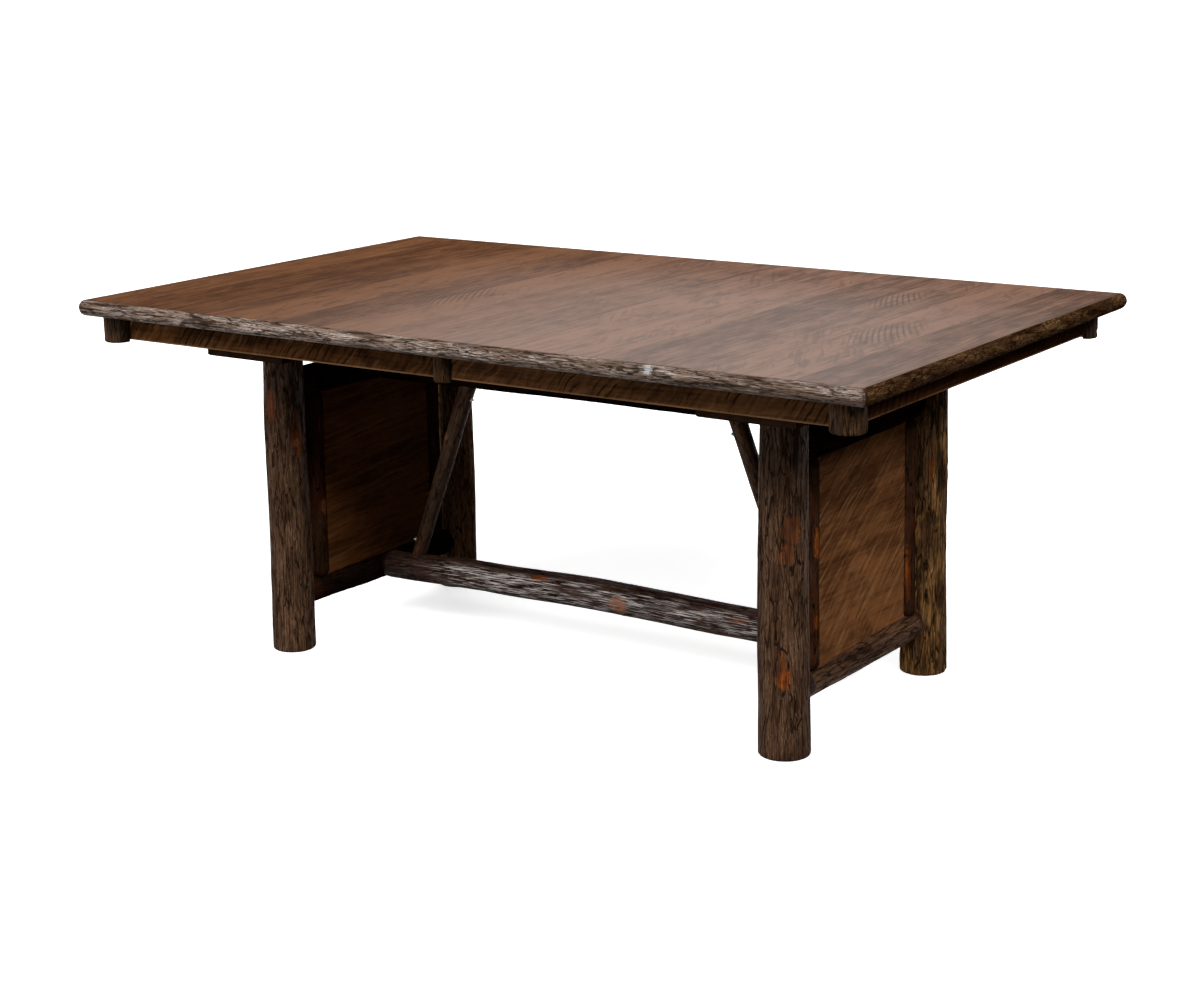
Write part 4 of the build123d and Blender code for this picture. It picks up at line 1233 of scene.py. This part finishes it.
# ---- the workshop ------------------------------------------------------------------------------
FINISHES = (
    BarkFinish("leg_bark", tint(72, 49, 33), tint(64, 41, 24), tint(12, 7, 4), tint(138, 112, 90),
               rubbing=0.42, width=0.04, fissure=0.5, coat=0.15, sheen=0.02, knots=tint(150, 86, 44)),
    # Painted light: a lighter copy of the leg bark for the back left leg, which stands in shade.
    BarkFinish("far_leg_bark", tint(134, 94, 64), tint(112, 77, 48), tint(14, 8, 4), tint(150, 128, 110),
               rubbing=0.45, width=0.04, fissure=0.5, sheen=0.02),
    BarkFinish("back_leg_bark", tint(82, 56, 34), tint(138, 98, 56), tint(10, 6, 3), tint(168, 134, 88),
               gloss=0.48, rubbing=0.4, fissure=0.38, sheen=0.02, patches=0.05),
    # pole_bark carries the painted highlight: its near-white pale colour forms the silver threads on the
    # stretcher's front.
    BarkFinish("pole_bark", tint(60, 38, 27), tint(52, 24, 13), tint(8, 5, 3), tint(214, 205, 201),
               gloss=0.3, rubbing=0.12, width=0.03, fissure=0.5, coat=0.28, coat_roughness=0.25, sheen=0.0,
               fineness=1.1, stretch=1.8, knots=tint(160, 108, 82), silver=0.92),
    BarkFinish("rail_bark", tint(80, 53, 33), tint(62, 37, 22), tint(6, 4, 3), tint(132, 104, 78),
               gloss=0.4, rubbing=0.35, width=0.04, fissure=0.3, sheen=0.04, stretch=1.5),
    # Painted shade: a darker copy of the bark for the rails and stretcher that sit in shade under the top.
    BarkFinish("dark_bark", tint(32, 19, 12), tint(36, 19, 10), tint(5, 3, 2), tint(60, 42, 30),
               gloss=0.5, rubbing=0.25, width=0.03, bump=0.4 * MM, sheen=0.0),
    BarkFinish("smooth_bark", tint(58, 37, 25), tint(66, 34, 17), tint(6, 4, 2), tint(92, 70, 54),
               gloss=0.4, rubbing=0.25, width=0.03, bump=0.4 * MM, sheen=0.0, knots=tint(140, 76, 34)),
    # Painted light: a lighter copy of the smooth bark for the braces, which stand in shade under the top.
    BarkFinish("brace_bark", tint(86, 62, 45), tint(74, 46, 30), tint(10, 6, 4), tint(120, 98, 80),
               gloss=0.4, rubbing=0.3, width=0.03, bump=0.5 * MM, sheen=0.08, knots=tint(160, 100, 66)),
    # edging_bark: its near-white pale threads are largely a painted highlight on the ridges.
    BarkFinish("edging_bark", tint(120, 96, 79), tint(92, 66, 48), tint(12, 7, 4), tint(236, 228, 224),
               gloss=0.34, rubbing=0.80, bump=1.2 * MM, fissure=0.30, coat=0.4, sheen=0.08, fineness=1.4,
               stretch=1.7, knots=tint(196, 200, 197)),
    BarkFinish("end_edging_bark", tint(76, 51, 32), tint(60, 35, 20), tint(14, 8, 4), tint(186, 150, 100),
               gloss=0.45, rubbing=0.45, width=0.025, fissure=0.5, sheen=0.0, stretch=0.8, patches=0.07),
    # Painted shade: darker than the leg bark, for the posts that stand in shade under the edging.
    BarkFinish("post_bark", tint(47, 32, 22), tint(70, 47, 27), tint(8, 5, 3), tint(96, 78, 64),
               gloss=0.45, rubbing=0.3, width=0.05, sheen=0.04, patches=0.06),
    SawnFinish("side_apron_maple", "X", "Z", tint(104, 69, 42), tint(58, 36, 21), pitch=19 * MM, lean=0.8,
               marking=0.85, shine=0.2, wobble=3.0, edges=True),
    # Painted shade: a darker copy of the apron maple for the left half's aprons.
    SawnFinish("left_apron_maple", "X", "Z", tint(90, 56, 31), tint(50, 30, 16), pitch=19 * MM, lean=0.8,
               marking=0.85, shine=0.2, wobble=3.0, edges=True),
    # Painted shade: a darker copy of the apron maple for the end aprons, which sit in shade under the edging.
    SawnFinish("end_apron_maple", "Y", "Z", tint(78, 46, 26), tint(40, 22, 12), pitch=24 * MM, lean=0.55,
               marking=0.7, wobble=2.0, edges=True),
    SawnFinish("panel_maple", "Y", "Z", tint(122, 79, 47), tint(74, 44, 25), pitch=22 * MM, lean=0.85, curve=0.8,
               marking=0.6, shine=0.4, wobble=1.8),
    SawnFinish("left_panel_maple", "Y", "Z", tint(116, 72, 37), tint(72, 41, 20), pitch=150 * MM, lean=8.0,
               curve=0.3, marking=0.4, shine=0.3),
    SawnFinish("cleat_wood", "Y", "X", tint(66, 46, 33), tint(40, 27, 19), marking=0.25, roughness=0.65),
    SawnFinish("slide_wood", "X", "Z", tint(176, 140, 100), tint(140, 104, 70), marking=0.15),
    MetalFinish("zinc_steel", tint(150, 149, 145), tint(96, 94, 90), roughness=0.42),
    MetalFinish("gear_brass", tint(206, 168, 96), tint(150, 112, 58), roughness=0.32),
)


def add_object(name: str, data: bpy.types.ID) -> bpy.types.Object:
    """New object for some data, in the scene."""
    made = bpy.data.objects.new(name, data)
    bpy.context.scene.collection.objects.link(made)
    return made


def to_mesh(shape: bmesh.types.BMesh, name: str) -> bpy.types.Mesh:
    """New mesh from a shape, which is used up."""
    mesh = bpy.data.meshes.new(name)
    shape.to_mesh(mesh)
    shape.free()
    return mesh


class Workshop:
    """Turns shapes into pieces that ride on the frame's bodies."""

    def __init__(self, frame: dict) -> None:
        """Args:
        """
        self.nodes = frame["nodes"]
        bodies = frame["record"]["behaviour"]["bodies"]
        self.body_of = {node: body for body, members in bodies.items() for node in members}
        low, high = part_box("top_boards_right")
        effects = Effects()
        plans = (*FINISHES, TopFinish("top_maple", (high.x - low.x) / BOARDS_PER_HALF))
        self.finishes = {plan.name: plan.make(effects) for plan in plans}

    def piece(self, shape: bmesh.types.BMesh, node: str, finish: str, slot: str, suffix: str,
              stands_in: bool = True) -> None:
        """Make a finished piece.

        Args:
            shape: the piece's shape, which is used up.
            node: the node of the frame that it belongs to.
            finish: name of its finish.
            slot: material slot of the record; not used.
            suffix: end of the piece's name.
            stands_in: whether it replaces the node, or is added to it.
        """
        mesh = to_mesh(shape, node + "_" + suffix)
        mesh.shade_smooth()
        mesh.set_sharp_from_angle(angle=SHARP_ANGLE)
        mesh.materials.append(self.finishes[finish])
        piece = add_object(mesh.name, mesh)
        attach(piece, self.body_of[node])
        if stands_in:
            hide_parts(node)
        LOG.info("%s: %d faces in %s", piece.name, len(mesh.polygons), finish)

    def dress(self, finish: str, *nodes: str) -> None:
        """Give some nodes of the frame their finish."""
        for node in nodes:
            target = self.nodes[node]
            if not target.material_slots:
                target.data.materials.append(None)
            for place in target.material_slots:
                place.material = self.finishes[finish]
            LOG.info("%s: %s", node, finish)


ROUGH_BARK = BarkSkin(1.7 * MM, 11 * MM, 170 * MM, 5 * MM, 0.18, 1.3 * MM)
LEG_BARK = BarkSkin(0.9 * MM, 8.5 * MM, 170 * MM, 4 * MM, 0.18, 1.0 * MM)
RAIL_BARK = BarkSkin(1.5 * MM, 10 * MM, 150 * MM, 7 * MM, 0.17, 1.3 * MM)
THIN_BARK = BarkSkin(0.6 * MM, 8.5 * MM, 150 * MM, 4 * MM, 0.17, 0.9 * MM)
SMOOTH_BARK = BarkSkin(0.15 * MM, 12 * MM, 60 * MM, 4 * MM, 0.15, 0.6 * MM)
EDGE_BARK = BarkSkin(1.5 * MM, 7.0 * MM, 110 * MM, 4.5 * MM, 0.17, 1.0 * MM)
END_EDGE_BARK = BarkSkin(0.6 * MM, 12 * MM, 50 * MM, 4 * MM, 0.16, 0.8 * MM)

SCAR, KNOT = Mark.SCAR, Mark.KNOT
Marks = tuple[BarkMark, ...]


def straight(end: PoleEnd, length: float, first: float, middle: float, last: float) -> tuple[Station, ...]:
    """Stations of a straight pole with the same tenon at both ends.

    Args:
        end: how the pole ends.
        length: its length.
        first: its radius at the first shoulder.
        middle: its radius halfway.
        last: its radius at the last shoulder.

    Returns:
        The stations.
    """
    share = end.length / length
    places = ((0.0, first), (share, first), (0.5, middle), (1 - share, last), (1.0, last))
    return tuple((place, radius, 0.0, 0.0) for place, radius in places)


@dataclass
class EndFrame:
    """Legs, rails, stiles and panel at one end of the table.

    Attributes:
        side: which end.
        leg_radii: foot and top radius of the front and back leg.
        leg_marks: scars and knots of the front and back leg.
        stile_marks: scars and knots of the front and back stile.
        leg_foot: how a leg starts.
        rail_end: tenons of the rails.
        stile_end: tenons of the stiles.
        sway: how far a leg strays sideways.
    """

    side: Side
    leg_radii: dict[Row, tuple[float, float]]
    leg_marks: dict[Row, Marks]
    stile_marks: dict[Row, Marks]
    leg_foot: PoleEnd = PoleEnd(5 * MM)
    rail_end: PoleEnd = PoleEnd(0, 16 * MM, 46 * MM, 30 * MM)
    stile_end: PoleEnd = PoleEnd(0, 9 * MM, 22 * MM, 16 * MM)
    sway: float = 2.5 * MM

    def leg(self, shop: Workshop, row: Row) -> None:
        """Build one leg."""
        node = f"leg_{row.word}_{self.side.word}"
        low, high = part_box(node)
        x = round(((low + high) / 2).x, 2)
        foot, top = self.leg_radii[row]
        middle = (foot + top) / 2
        stations = (
            (0.0, foot, 0.0, 0.0),
            (0.4, middle + 1 * MM, -self.side.value * self.sway, 0.0),
            (0.7, middle - 0.5 * MM, 0.0, row.value * self.sway),
            (1.0, top, 0.0, 0.0),
        )
        skin = ROUGH_BARK if row is Row.BACK and self.side is Side.RIGHT else LEG_BARK
        # The back left leg takes a lighter bark, a painted light.
        finish = "leg_bark" if row is Row.FRONT else "far_leg_bark" if self.side is Side.LEFT else "back_leg_bark"
        pole = Pole(Vector((x, row.value * LEG_Y, low.z)), Vector((x, row.value * LEG_Y, high.z)), X_AXIS, Y_AXIS,
                    stations, self.leg_foot, PoleEnd(), skin.moved(1.7 * self.side.value + 3.1 * row.value),
                    self.leg_marks[row])
        shop.piece(pole.build(), node, finish, "leg_bark", "pole")

    def rail(self, shop: Workshop, level: str, radii: tuple[float, float], skin: BarkSkin, finish: str) -> None:
        """Build one rail."""
        node = f"{level}_rail_{self.side.word}"
        low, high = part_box(node)
        x, z = (low.x + high.x) / 2, (low.z + high.z) / 2
        front, back = radii
        stations = straight(self.rail_end, high.y - low.y, front, (front + back) / 2 + 1 * MM, back)
        pole = Pole(Vector((x, low.y, z)), Vector((x, high.y, z)), X_AXIS, Z_AXIS, stations, self.rail_end,
                    self.rail_end, skin.moved(5.3 * self.side.value + z))
        shop.piece(pole.build(), node, finish, "pole_bark", "pole")

    def stile(self, shop: Workshop, row: Row) -> None:
        """Build one stile."""
        node = f"stile_{row.word}_{self.side.word}"
        low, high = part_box(node)
        radius = (high.x - low.x) / 2
        x, y = (low.x + high.x) / 2, row.value * STILE_Y
        stations = straight(self.stile_end, high.z - low.z, radius, radius - 0.8 * MM, radius)
        pole = Pole(Vector((x, y, low.z)), Vector((x, y, high.z)), X_AXIS, Y_AXIS, stations, self.stile_end,
                    self.stile_end, SMOOTH_BARK.moved(7.9 * self.side.value + row.value), self.stile_marks[row])
        shop.piece(pole.build(), node, "smooth_bark", "pole_bark", "pole")

    def build(self, shop: Workshop) -> None:
        """Build the whole end frame."""
        for row in Row:
            self.leg(shop, row)
            self.stile(shop, row)
        right = self.side is Side.RIGHT
        # The left lower rail and both upper rails take the darker bark, a painted shade.
        self.rail(shop, "lower", (27 * MM, 30.5 * MM), RAIL_BARK, "rail_bark" if right else "dark_bark")
        self.rail(shop, "upper", (32 * MM, 32 * MM), THIN_BARK, "dark_bark")
        shop.dress("panel_maple" if right else "left_panel_maple", "end_panel_" + self.side.word)
        shop.dress("cleat_wood", "leg_cleat_" + self.side.word)


@dataclass
class Stretchers:
    """Lower and upper stretcher and the two slanted braces.

    Attributes:
        end: tenons of the stretchers.
        lower_stations: share from the middle, rise and radius of the lower stretcher.
        upper_stations: the same for the upper stretcher.
        lower_height: height of the lower stretcher's tenons.
        upper_height: height of the upper stretcher's tenons.
        brace_foot: start of the right brace's axis.
        brace_head: end of its axis.
        brace_nose: distance of its upright cut from the head.
    """

    end: PoleEnd = PoleEnd(0, 13 * MM, 20 * MM, 22 * MM)
    lower_stations: tuple[tuple[float, float, float], ...] = (
        (-1.0, 9 * MM, 30 * MM), (-0.5, 18 * MM, 32 * MM), (0.0, 24 * MM, 33.5 * MM),
        (0.6, 20 * MM, 33 * MM), (1.0, 15 * MM, 30 * MM))
    upper_stations: tuple[tuple[float, float, float], ...] = (
        (-1.0, 0.0, 28.5 * MM), (0.0, 1.5 * MM, 25.5 * MM), (1.0, 1.5 * MM, 25 * MM))
    lower_height: float = 112 * MM
    upper_height: float = 567 * MM
    brace_foot: Vector = field(default_factory=lambda: Vector((493 * MM, 0, 123 * MM)))
    brace_head: Vector = field(default_factory=lambda: Vector((325 * MM, 0, 567 * MM)))
    brace_nose: float = 18 * MM

    def stretcher(self, shop: Workshop, level: str, height: float, rises: tuple[tuple[float, float, float], ...],
                  finish: str, marks: Marks) -> None:
        """Build one stretcher."""
        node = level + "_stretcher"
        low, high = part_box(node)
        body = 1 - 2 * self.end.length / (high.x - low.x)
        inner = [(0.5 + share * body / 2, radius, 0.0, rise) for share, rise, radius in rises]
        stations = ((0.0, *inner[0][1:]), *inner, (1.0, *inner[-1][1:]))
        pole = Pole(Vector((low.x, 0, height)), Vector((high.x, 0, height)), -Y_AXIS, Z_AXIS, stations, self.end,
                    self.end, THIN_BARK.moved(11.3 + height), marks)
        shop.piece(pole.build(), node, finish, "pole_bark", "pole")

    def brace(self, shop: Workshop, side: Side, marks: Marks) -> None:
        """Build one brace, its head cut upright."""
        mirror = Vector((side.value, 1, 1))
        foot, head = self.brace_foot * mirror, self.brace_head * mirror
        axis = (head - foot).normalized()
        pole = Pole(foot, head + axis * 10 * MM, (-Y_AXIS).cross(axis), -Y_AXIS,
                    ((0.0, 15 * MM, 0.0, 0.0), (1.0, 18 * MM, 0.0, 0.0)), PoleEnd(), PoleEnd(),
                    SMOOTH_BARK.moved(17.1 + side.value), marks)
        shape = pole.build()
        cut = Vector((head.x - side.value * self.brace_nose, 0, 0))
        bmesh.ops.bisect_plane(shape, geom=[*shape.verts, *shape.edges, *shape.faces], plane_co=cut,
                               plane_no=(-side.value, 0, 0), clear_outer=True)
        bmesh.ops.holes_fill(shape, edges=[edge for edge in shape.edges if edge.is_boundary])
        bmesh.ops.recalc_face_normals(shape, faces=shape.faces)
        shop.piece(shape, "brace_" + side.word, "brace_bark", "pole_bark", "pole")

    def build(self, shop: Workshop) -> None:
        """Build all four poles."""
        lower_marks = (
            BarkMark(KNOT, 0.664, -7, 50 * MM, 44 * MM),
            BarkMark(SCAR, 0.461, 45, 60 * MM, 14 * MM),
            BarkMark(SCAR, 0.904, -42, 110 * MM, 16 * MM),
            BarkMark(SCAR, 0.95, 24, 60 * MM, 10 * MM),
        )
        self.stretcher(shop, "lower", self.lower_height, self.lower_stations, "pole_bark", lower_marks)
        # The upper stretcher takes the darker bark, a painted shade.
        self.stretcher(shop, "upper", self.upper_height, self.upper_stations, "dark_bark", ())
        self.brace(shop, Side.LEFT, (BarkMark(KNOT, 0.325, 60, 20 * MM, 15 * MM),))
        self.brace(shop, Side.RIGHT, ())


@dataclass
class TopHalf:
    """Boards, edging, aprons and corner posts of one half of the top.

    Attributes:
        side: which half.
        corner_rounds: how round the front and back corners are.
        post_radii: radius of the front and back corner post.
        apron_bevel: how far the aprons' edges are eased.
        film: thickness of the finish on the seam.
    """

    side: Side
    corner_rounds: dict[Row, float]
    post_radii: dict[Row, float]
    apron_bevel: float = 1.2 * MM
    film: float = 0.38 * MM

    def side_edging(self, shop: Workshop, row: Row) -> None:
        """Build the bark strip along the front or back."""
        node = f"side_edging_{row.word}_{self.side.word}"
        low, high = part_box(node)
        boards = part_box("top_boards_" + self.side.word)
        base = abs(boards[0].y if row is Row.FRONT else boards[1].y)
        corner = self.corner_rounds[row]
        marks = ()
        if self.side is Side.RIGHT and row is Row.FRONT:
            marks = (BarkMark(KNOT, 0.488, 35, 22 * MM, 12 * MM),)
        strip = Edging(X_AXIS, Vector((0, row.value, 0)), boards[0].x, boards[1].x, base, low.z, high.z,
                       high.y - low.y, (corner, None) if self.side is Side.LEFT else (None, corner),
                       EDGE_BARK.moved(21.0 + row.value), marks)
        shop.piece(strip.build(), node, "edging_bark", "edging_bark", "strip")

    def end_edging(self, shop: Workshop) -> None:
        """Build the bark strip along the end."""
        node = "end_edging_" + self.side.word
        low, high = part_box(node)
        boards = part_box("top_boards_" + self.side.word)
        base = abs(boards[1].x if self.side is Side.RIGHT else boards[0].x)
        corners = (self.corner_rounds[Row.FRONT], self.corner_rounds[Row.BACK])
        strip = Edging(Y_AXIS, Vector((self.side.value, 0, 0)), boards[0].y, boards[1].y, base, low.z, high.z,
                       high.x - low.x, corners, END_EDGE_BARK.moved(25.0 + self.side.value))
        shop.piece(strip.build(), node, "end_edging_bark", "edging_bark", "strip")

    def apron(self, shop: Workshop, node: str, finish: str) -> None:
        """Build one apron board with eased edges, its lower edge marked for a painted highlight."""
        low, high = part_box(node)
        shape = block(high - low, (low + high) / 2)
        bmesh.ops.bevel(shape, geom=shape.edges[:], offset=self.apron_bevel, offset_type="OFFSET", segments=2,
                        profile=0.5, affect="EDGES", material=-1)
        # The edge value marks the lower edge for a painted highlight.
        edge = shape.verts.layers.float.new("edge")
        for vertex in shape.verts:
            vertex[edge] = 1.0 if vertex.co.z < low.z + 2 * self.apron_bevel else 0.0
        shop.piece(shape, node, finish, "apron_maple", "board")

    def seam_film(self, shop: Workshop) -> None:
        """Build the film of finish on the right half's seam, which closes the hairline between the halves."""
        low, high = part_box("top_boards_right")
        size = Vector((self.film, high.y - low.y - 2 * MM, high.z - low.z - 2.4 * MM))
        middle = Vector((low.x - self.film / 2 + 0.02 * MM, 0, (low.z + high.z) / 2))
        shop.piece(block(size, middle), "top_boards_right", "top_maple", "top_maple", "seam_film", stands_in=False)

    def corner_post(self, shop: Workshop, row: Row) -> None:
        """Build one corner post, notched over the aprons."""
        node = f"corner_post_{row.word}_{self.side.word}"
        low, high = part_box(node)
        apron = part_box(f"side_apron_{row.word}_{self.side.word}")
        x = apron[1].x if self.side is Side.RIGHT else apron[0].x
        y = apron[1].y if row is Row.BACK else apron[0].y
        facing = math.degrees(math.atan2(row.value, self.side.value))
        post = Post(Vector((x, y, 0)), low.z, high.z, self.post_radii[row], facing, 270,
                    ROUGH_BARK.moved(31.0 + self.side.value + 2 * row.value))
        shop.piece(post.build(), node, "post_bark", "post_bark", "post")

    def build(self, shop: Workshop) -> None:
        """Build the whole half."""
        for row in Row:
            self.side_edging(shop, row)
            self.apron(shop, f"side_apron_{row.word}_{self.side.word}",
                       "left_apron_maple" if self.side is Side.LEFT else "side_apron_maple")
            self.corner_post(shop, row)
        self.end_edging(shop)
        self.apron(shop, "end_apron_" + self.side.word, "end_apron_maple")
        shop.dress("top_maple", "top_boards_" + self.side.word)
        if self.side is Side.RIGHT:
            self.seam_film(shop)


@dataclass
class SeamPosts:
    """Half-round posts that cover the seam of the aprons.

    Attributes:
        radius: their radius.
    """

    radius: float = 18.75 * MM

    def build(self, shop: Workshop) -> None:
        """Build the front and back post."""
        for row in Row:
            node = "mid_post_" + row.word
            low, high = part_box(node)
            face = low.y if row is Row.BACK else high.y
            post = Post(Vector((0, face, 0)), low.z, high.z, self.radius, 90.0 * row.value, 180,
                        THIN_BARK.moved(41.0 + row.value))
            shop.piece(post.build(), node, "post_bark", "post_bark", "post")


UNDERCARRIAGE = {
    "slide_wood": ("runner_front", "runner_back", "slide_front_left", "slide_front_right",
                   "slide_back_left", "slide_back_right", "alignment_dowels"),
    "gear_brass": ("pinion_front", "pinion_back", "racks_left", "racks_right"),
    "zinc_steel": ("pinion_pins", "lock_plates", "lock_keepers", "lock_lever_front", "lock_lever_back",
                   "base_screws", "leg_lag_screws", "slide_screws_left", "slide_screws_right"),
}


# ---- studio ------------------------------------------------------------------------------------
def turned_to(place: Vector, away: Vector) -> Matrix:
    """Matrix of a lamp at a place, with its back to a direction."""
    return Matrix.Translation(place) @ away.to_track_quat("Z", "Y").to_matrix().to_4x4()


@dataclass(frozen=True)
class Lamp:
    """A soft square lamp that points at a target.

    Attributes:
        name: the lamp's name.
        place: where it hangs.
        target: where it points.
        size: length of its side.
        power: how strong it is, in watts.
    """

    name: str
    place: tuple[float, float, float]
    target: tuple[float, float, float]
    size: float
    power: float

    def build(self) -> None:
        """Hang the lamp."""
        light = bpy.data.lights.new(self.name, "AREA")
        light.energy = self.power
        light.size = self.size
        lamp = add_object(self.name, light)
        lamp.matrix_world = turned_to(Vector(self.place), Vector(self.place) - Vector(self.target))
        lamp.visible_camera = False


@dataclass(frozen=True)
class Sun:
    """A wide soft light from far away.

    Attributes:
        name: the lamp's name.
        level: how strongly it lights.
        spread: how wide it is in the sky, in degrees.
        height: its height above the horizon, in degrees.
        turn: its direction seen from above, in degrees from +X.
        gleams: whether it shows in polished surfaces.
    """

    name: str
    level: float
    spread: float
    height: float
    turn: float
    gleams: bool = True

    def build(self) -> None:
        """Hang the light."""
        light = bpy.data.lights.new(self.name, "SUN")
        light.energy = self.level
        light.angle = math.radians(self.spread)
        lamp = add_object(self.name, light)
        height, turn = math.radians(self.height), math.radians(self.turn)
        away = Vector((math.cos(height) * math.cos(turn), math.cos(height) * math.sin(turn), math.sin(height)))
        lamp.matrix_world = turned_to(away * 6, away)
        lamp.visible_glossy = self.gleams


@dataclass
class Studio:
    """Camera, lamps, world and floor.

    Attributes:
        camera_place: where the camera stands.
        yaw: its turn to the left, in degrees.
        pitch: its tilt down, in degrees.
        roll: its roll, in degrees.
        focal_pixels: its focal length, in pixels of the full image.
        centre_pixels: where its axis meets the image.
        floor_size: length of the floor's side.
        world_level: strength of the world's own light.
        floor_shade: colour of the floor for the light that it gives back.
        lights: the suns and lamps.
    """

    camera_place: tuple[float, float, float] = (2.59743, -3.73735, 1.50482)
    yaw: float = 34.355
    pitch: float = 10.620
    roll: float = -0.893
    focal_pixels: float = 2280.47
    centre_pixels: tuple[float, float] = (614.1, 350.0)
    floor_size: float = 120.0
    world_level: float = 0.06
    floor_shade: Colour = (0.08, 0.075, 0.07)
    lights: tuple[Sun | Lamp, ...] = (
        Sun("sky", 2.2, 30.0, 45.0, -95.0),
        Sun("side", 2.5, 22.0, 38.0, -30.0),
        Sun("back", 1.0, 40.0, 16.0, 125.0, gleams=False),
        Lamp("front", (-2.5, -4.5, 1.5), (0.0, -0.3, 0.5), 1.1, 70.0),
        Lamp("sheen", (-0.84, 1.5, 2.22), (0.3, 0.0, 0.76), 1.6, 15.7),
    )

    def camera(self) -> None:
        """Place the camera."""
        yaw, pitch, roll = (math.radians(angle) for angle in (self.yaw, self.pitch, self.roll))
        forward = Vector((-math.sin(yaw) * math.cos(pitch), math.cos(yaw) * math.cos(pitch), -math.sin(pitch)))
        level = Vector((math.cos(yaw), math.sin(yaw), 0))
        upright = level.cross(forward)
        right = level * math.cos(roll) + upright * math.sin(roll)
        up = upright * math.cos(roll) - level * math.sin(roll)
        data = bpy.data.cameras.new("camera")
        data.sensor_width = 36.0
        data.lens = self.focal_pixels * data.sensor_width / IMAGE_WIDTH
        data.shift_x = (IMAGE_WIDTH / 2 - self.centre_pixels[0]) / IMAGE_WIDTH
        data.shift_y = (self.centre_pixels[1] - IMAGE_HEIGHT / 2) / IMAGE_WIDTH
        camera = add_object("camera", data)
        turn = Matrix((right, up, -forward)).transposed().to_4x4()
        camera.matrix_world = Matrix.Translation(self.camera_place) @ turn
        bpy.context.scene.camera = camera

    @staticmethod
    def seen(graph: Graph) -> tuple[Wire, Wire]:
        """Whether a ray is the camera's own, and whether it may also come by way of a gleam or glass."""
        path = graph.add("LightPath")
        camera = path["Is Camera Ray"]
        return camera, camera.most(path["Is Glossy Ray"].most(path["Is Transmission Ray"]))

    def world(self) -> None:
        """Light the scene evenly, with white behind the object."""
        world = bpy.data.worlds.new("studio")
        bpy.context.scene.world = world
        world.use_nodes = True
        graph = Graph(world.node_tree)
        seen = self.seen(graph)[1]
        graph.feed(world.node_tree.nodes["Background"], {
            "Color": (1.0, 1.0, 1.0),
            "Strength": graph.add("MapRange", {0: seen, 3: self.world_level, 4: 1.0})[0],
        })

    def floor(self) -> None:
        """Lay the pale floor, which gives back little light from below."""
        shape = bmesh.new()
        bmesh.ops.create_grid(shape, x_segments=1, y_segments=1, size=self.floor_size / 2)
        mesh = to_mesh(shape, "floor")
        material, graph, shader = start_material("floor_white")
        camera, seen = self.seen(graph)
        graph.feed(shader, {
            "Base Color": graph.mix(seen, self.floor_shade, (0.97, 0.97, 0.97)),
            "Emission Color": graph.mix(camera, (0.0, 0.0, 0.0), (0.65, 0.65, 0.65)),
            "Emission Strength": 1.0,
            "Roughness": 1.0,
            "Specular IOR Level": 0.0,
        })
        mesh.materials.append(material)
        add_object("floor", mesh)

    def build(self) -> None:
        """Build the whole studio."""
        bpy.context.scene.view_settings.view_transform = "Standard"
        self.camera()
        self.world()
        self.floor()
        for light in self.lights:
            light.build()


def end_frames() -> tuple[EndFrame, EndFrame]:
    """The left and the right end frame, with the marks of their poles."""
    left = EndFrame(
        Side.LEFT,
        {Row.FRONT: (45.5 * MM, 41.5 * MM), Row.BACK: (45 * MM, 42 * MM)},
        {Row.FRONT: (BarkMark(SCAR, 0.532, -88, 84 * MM, 30 * MM), BarkMark(SCAR, 0.474, -10, 120 * MM, 32 * MM),
                     BarkMark(KNOT, 0.452, -14, 22 * MM, 18 * MM)),
         Row.BACK: ()},
        {Row.FRONT: (BarkMark(SCAR, 0.352, -5, 50 * MM, 14 * MM), BarkMark(KNOT, 0.178, 0, 40 * MM, 18 * MM)),
         Row.BACK: ()},
    )
    right = EndFrame(
        Side.RIGHT,
        {Row.FRONT: (49 * MM, 44 * MM), Row.BACK: (48 * MM, 44 * MM)},
        {Row.FRONT: (BarkMark(SCAR, 0.436, -40, 60 * MM, 44 * MM, 0.7),
                     BarkMark(SCAR, 0.392, -52, 50 * MM, 36 * MM, 0.6),
                     BarkMark(SCAR, 0.158, -61, 48 * MM, 36 * MM),
                     BarkMark(SCAR, 0.186, -61, 56 * MM, 14 * MM, 0.7)),
         Row.BACK: (BarkMark(SCAR, 0.43, -48, 60 * MM, 10 * MM),)},
        {Row.FRONT: (BarkMark(KNOT, 0.268, -8, 70 * MM, 16 * MM), BarkMark(SCAR, 0.118, -12, 30 * MM, 14 * MM)),
         Row.BACK: (BarkMark(SCAR, 0.115, -44, 130 * MM, 14 * MM),)},
    )
    return left, right


def top_halves() -> tuple[TopHalf, TopHalf]:
    """The left and the right half of the top."""
    left = TopHalf(Side.LEFT, {Row.FRONT: 0.9, Row.BACK: 0.9}, {Row.FRONT: 31 * MM, Row.BACK: 30 * MM})
    right = TopHalf(Side.RIGHT, {Row.FRONT: 0.35, Row.BACK: 0.4}, {Row.FRONT: 32.5 * MM, Row.BACK: 22 * MM})
    return left, right


def main() -> None:
    """Build the table's looks around its frame."""
    logging.basicConfig(level=logging.INFO, format="%(message)s", stream=sys.stdout)
    noise.seed_set(NOISE_SEED)  # without a seed, the drift of the bark would change from run to run
    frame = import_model()
    Studio().build()
    shop = Workshop(frame)
    for part in (*end_frames(), Stretchers(), *top_halves(), SeamPosts()):
        part.build(shop)
    for finish, nodes in UNDERCARRIAGE.items():
        shop.dress(finish, *nodes)


if __name__ == "__main__":
    main()
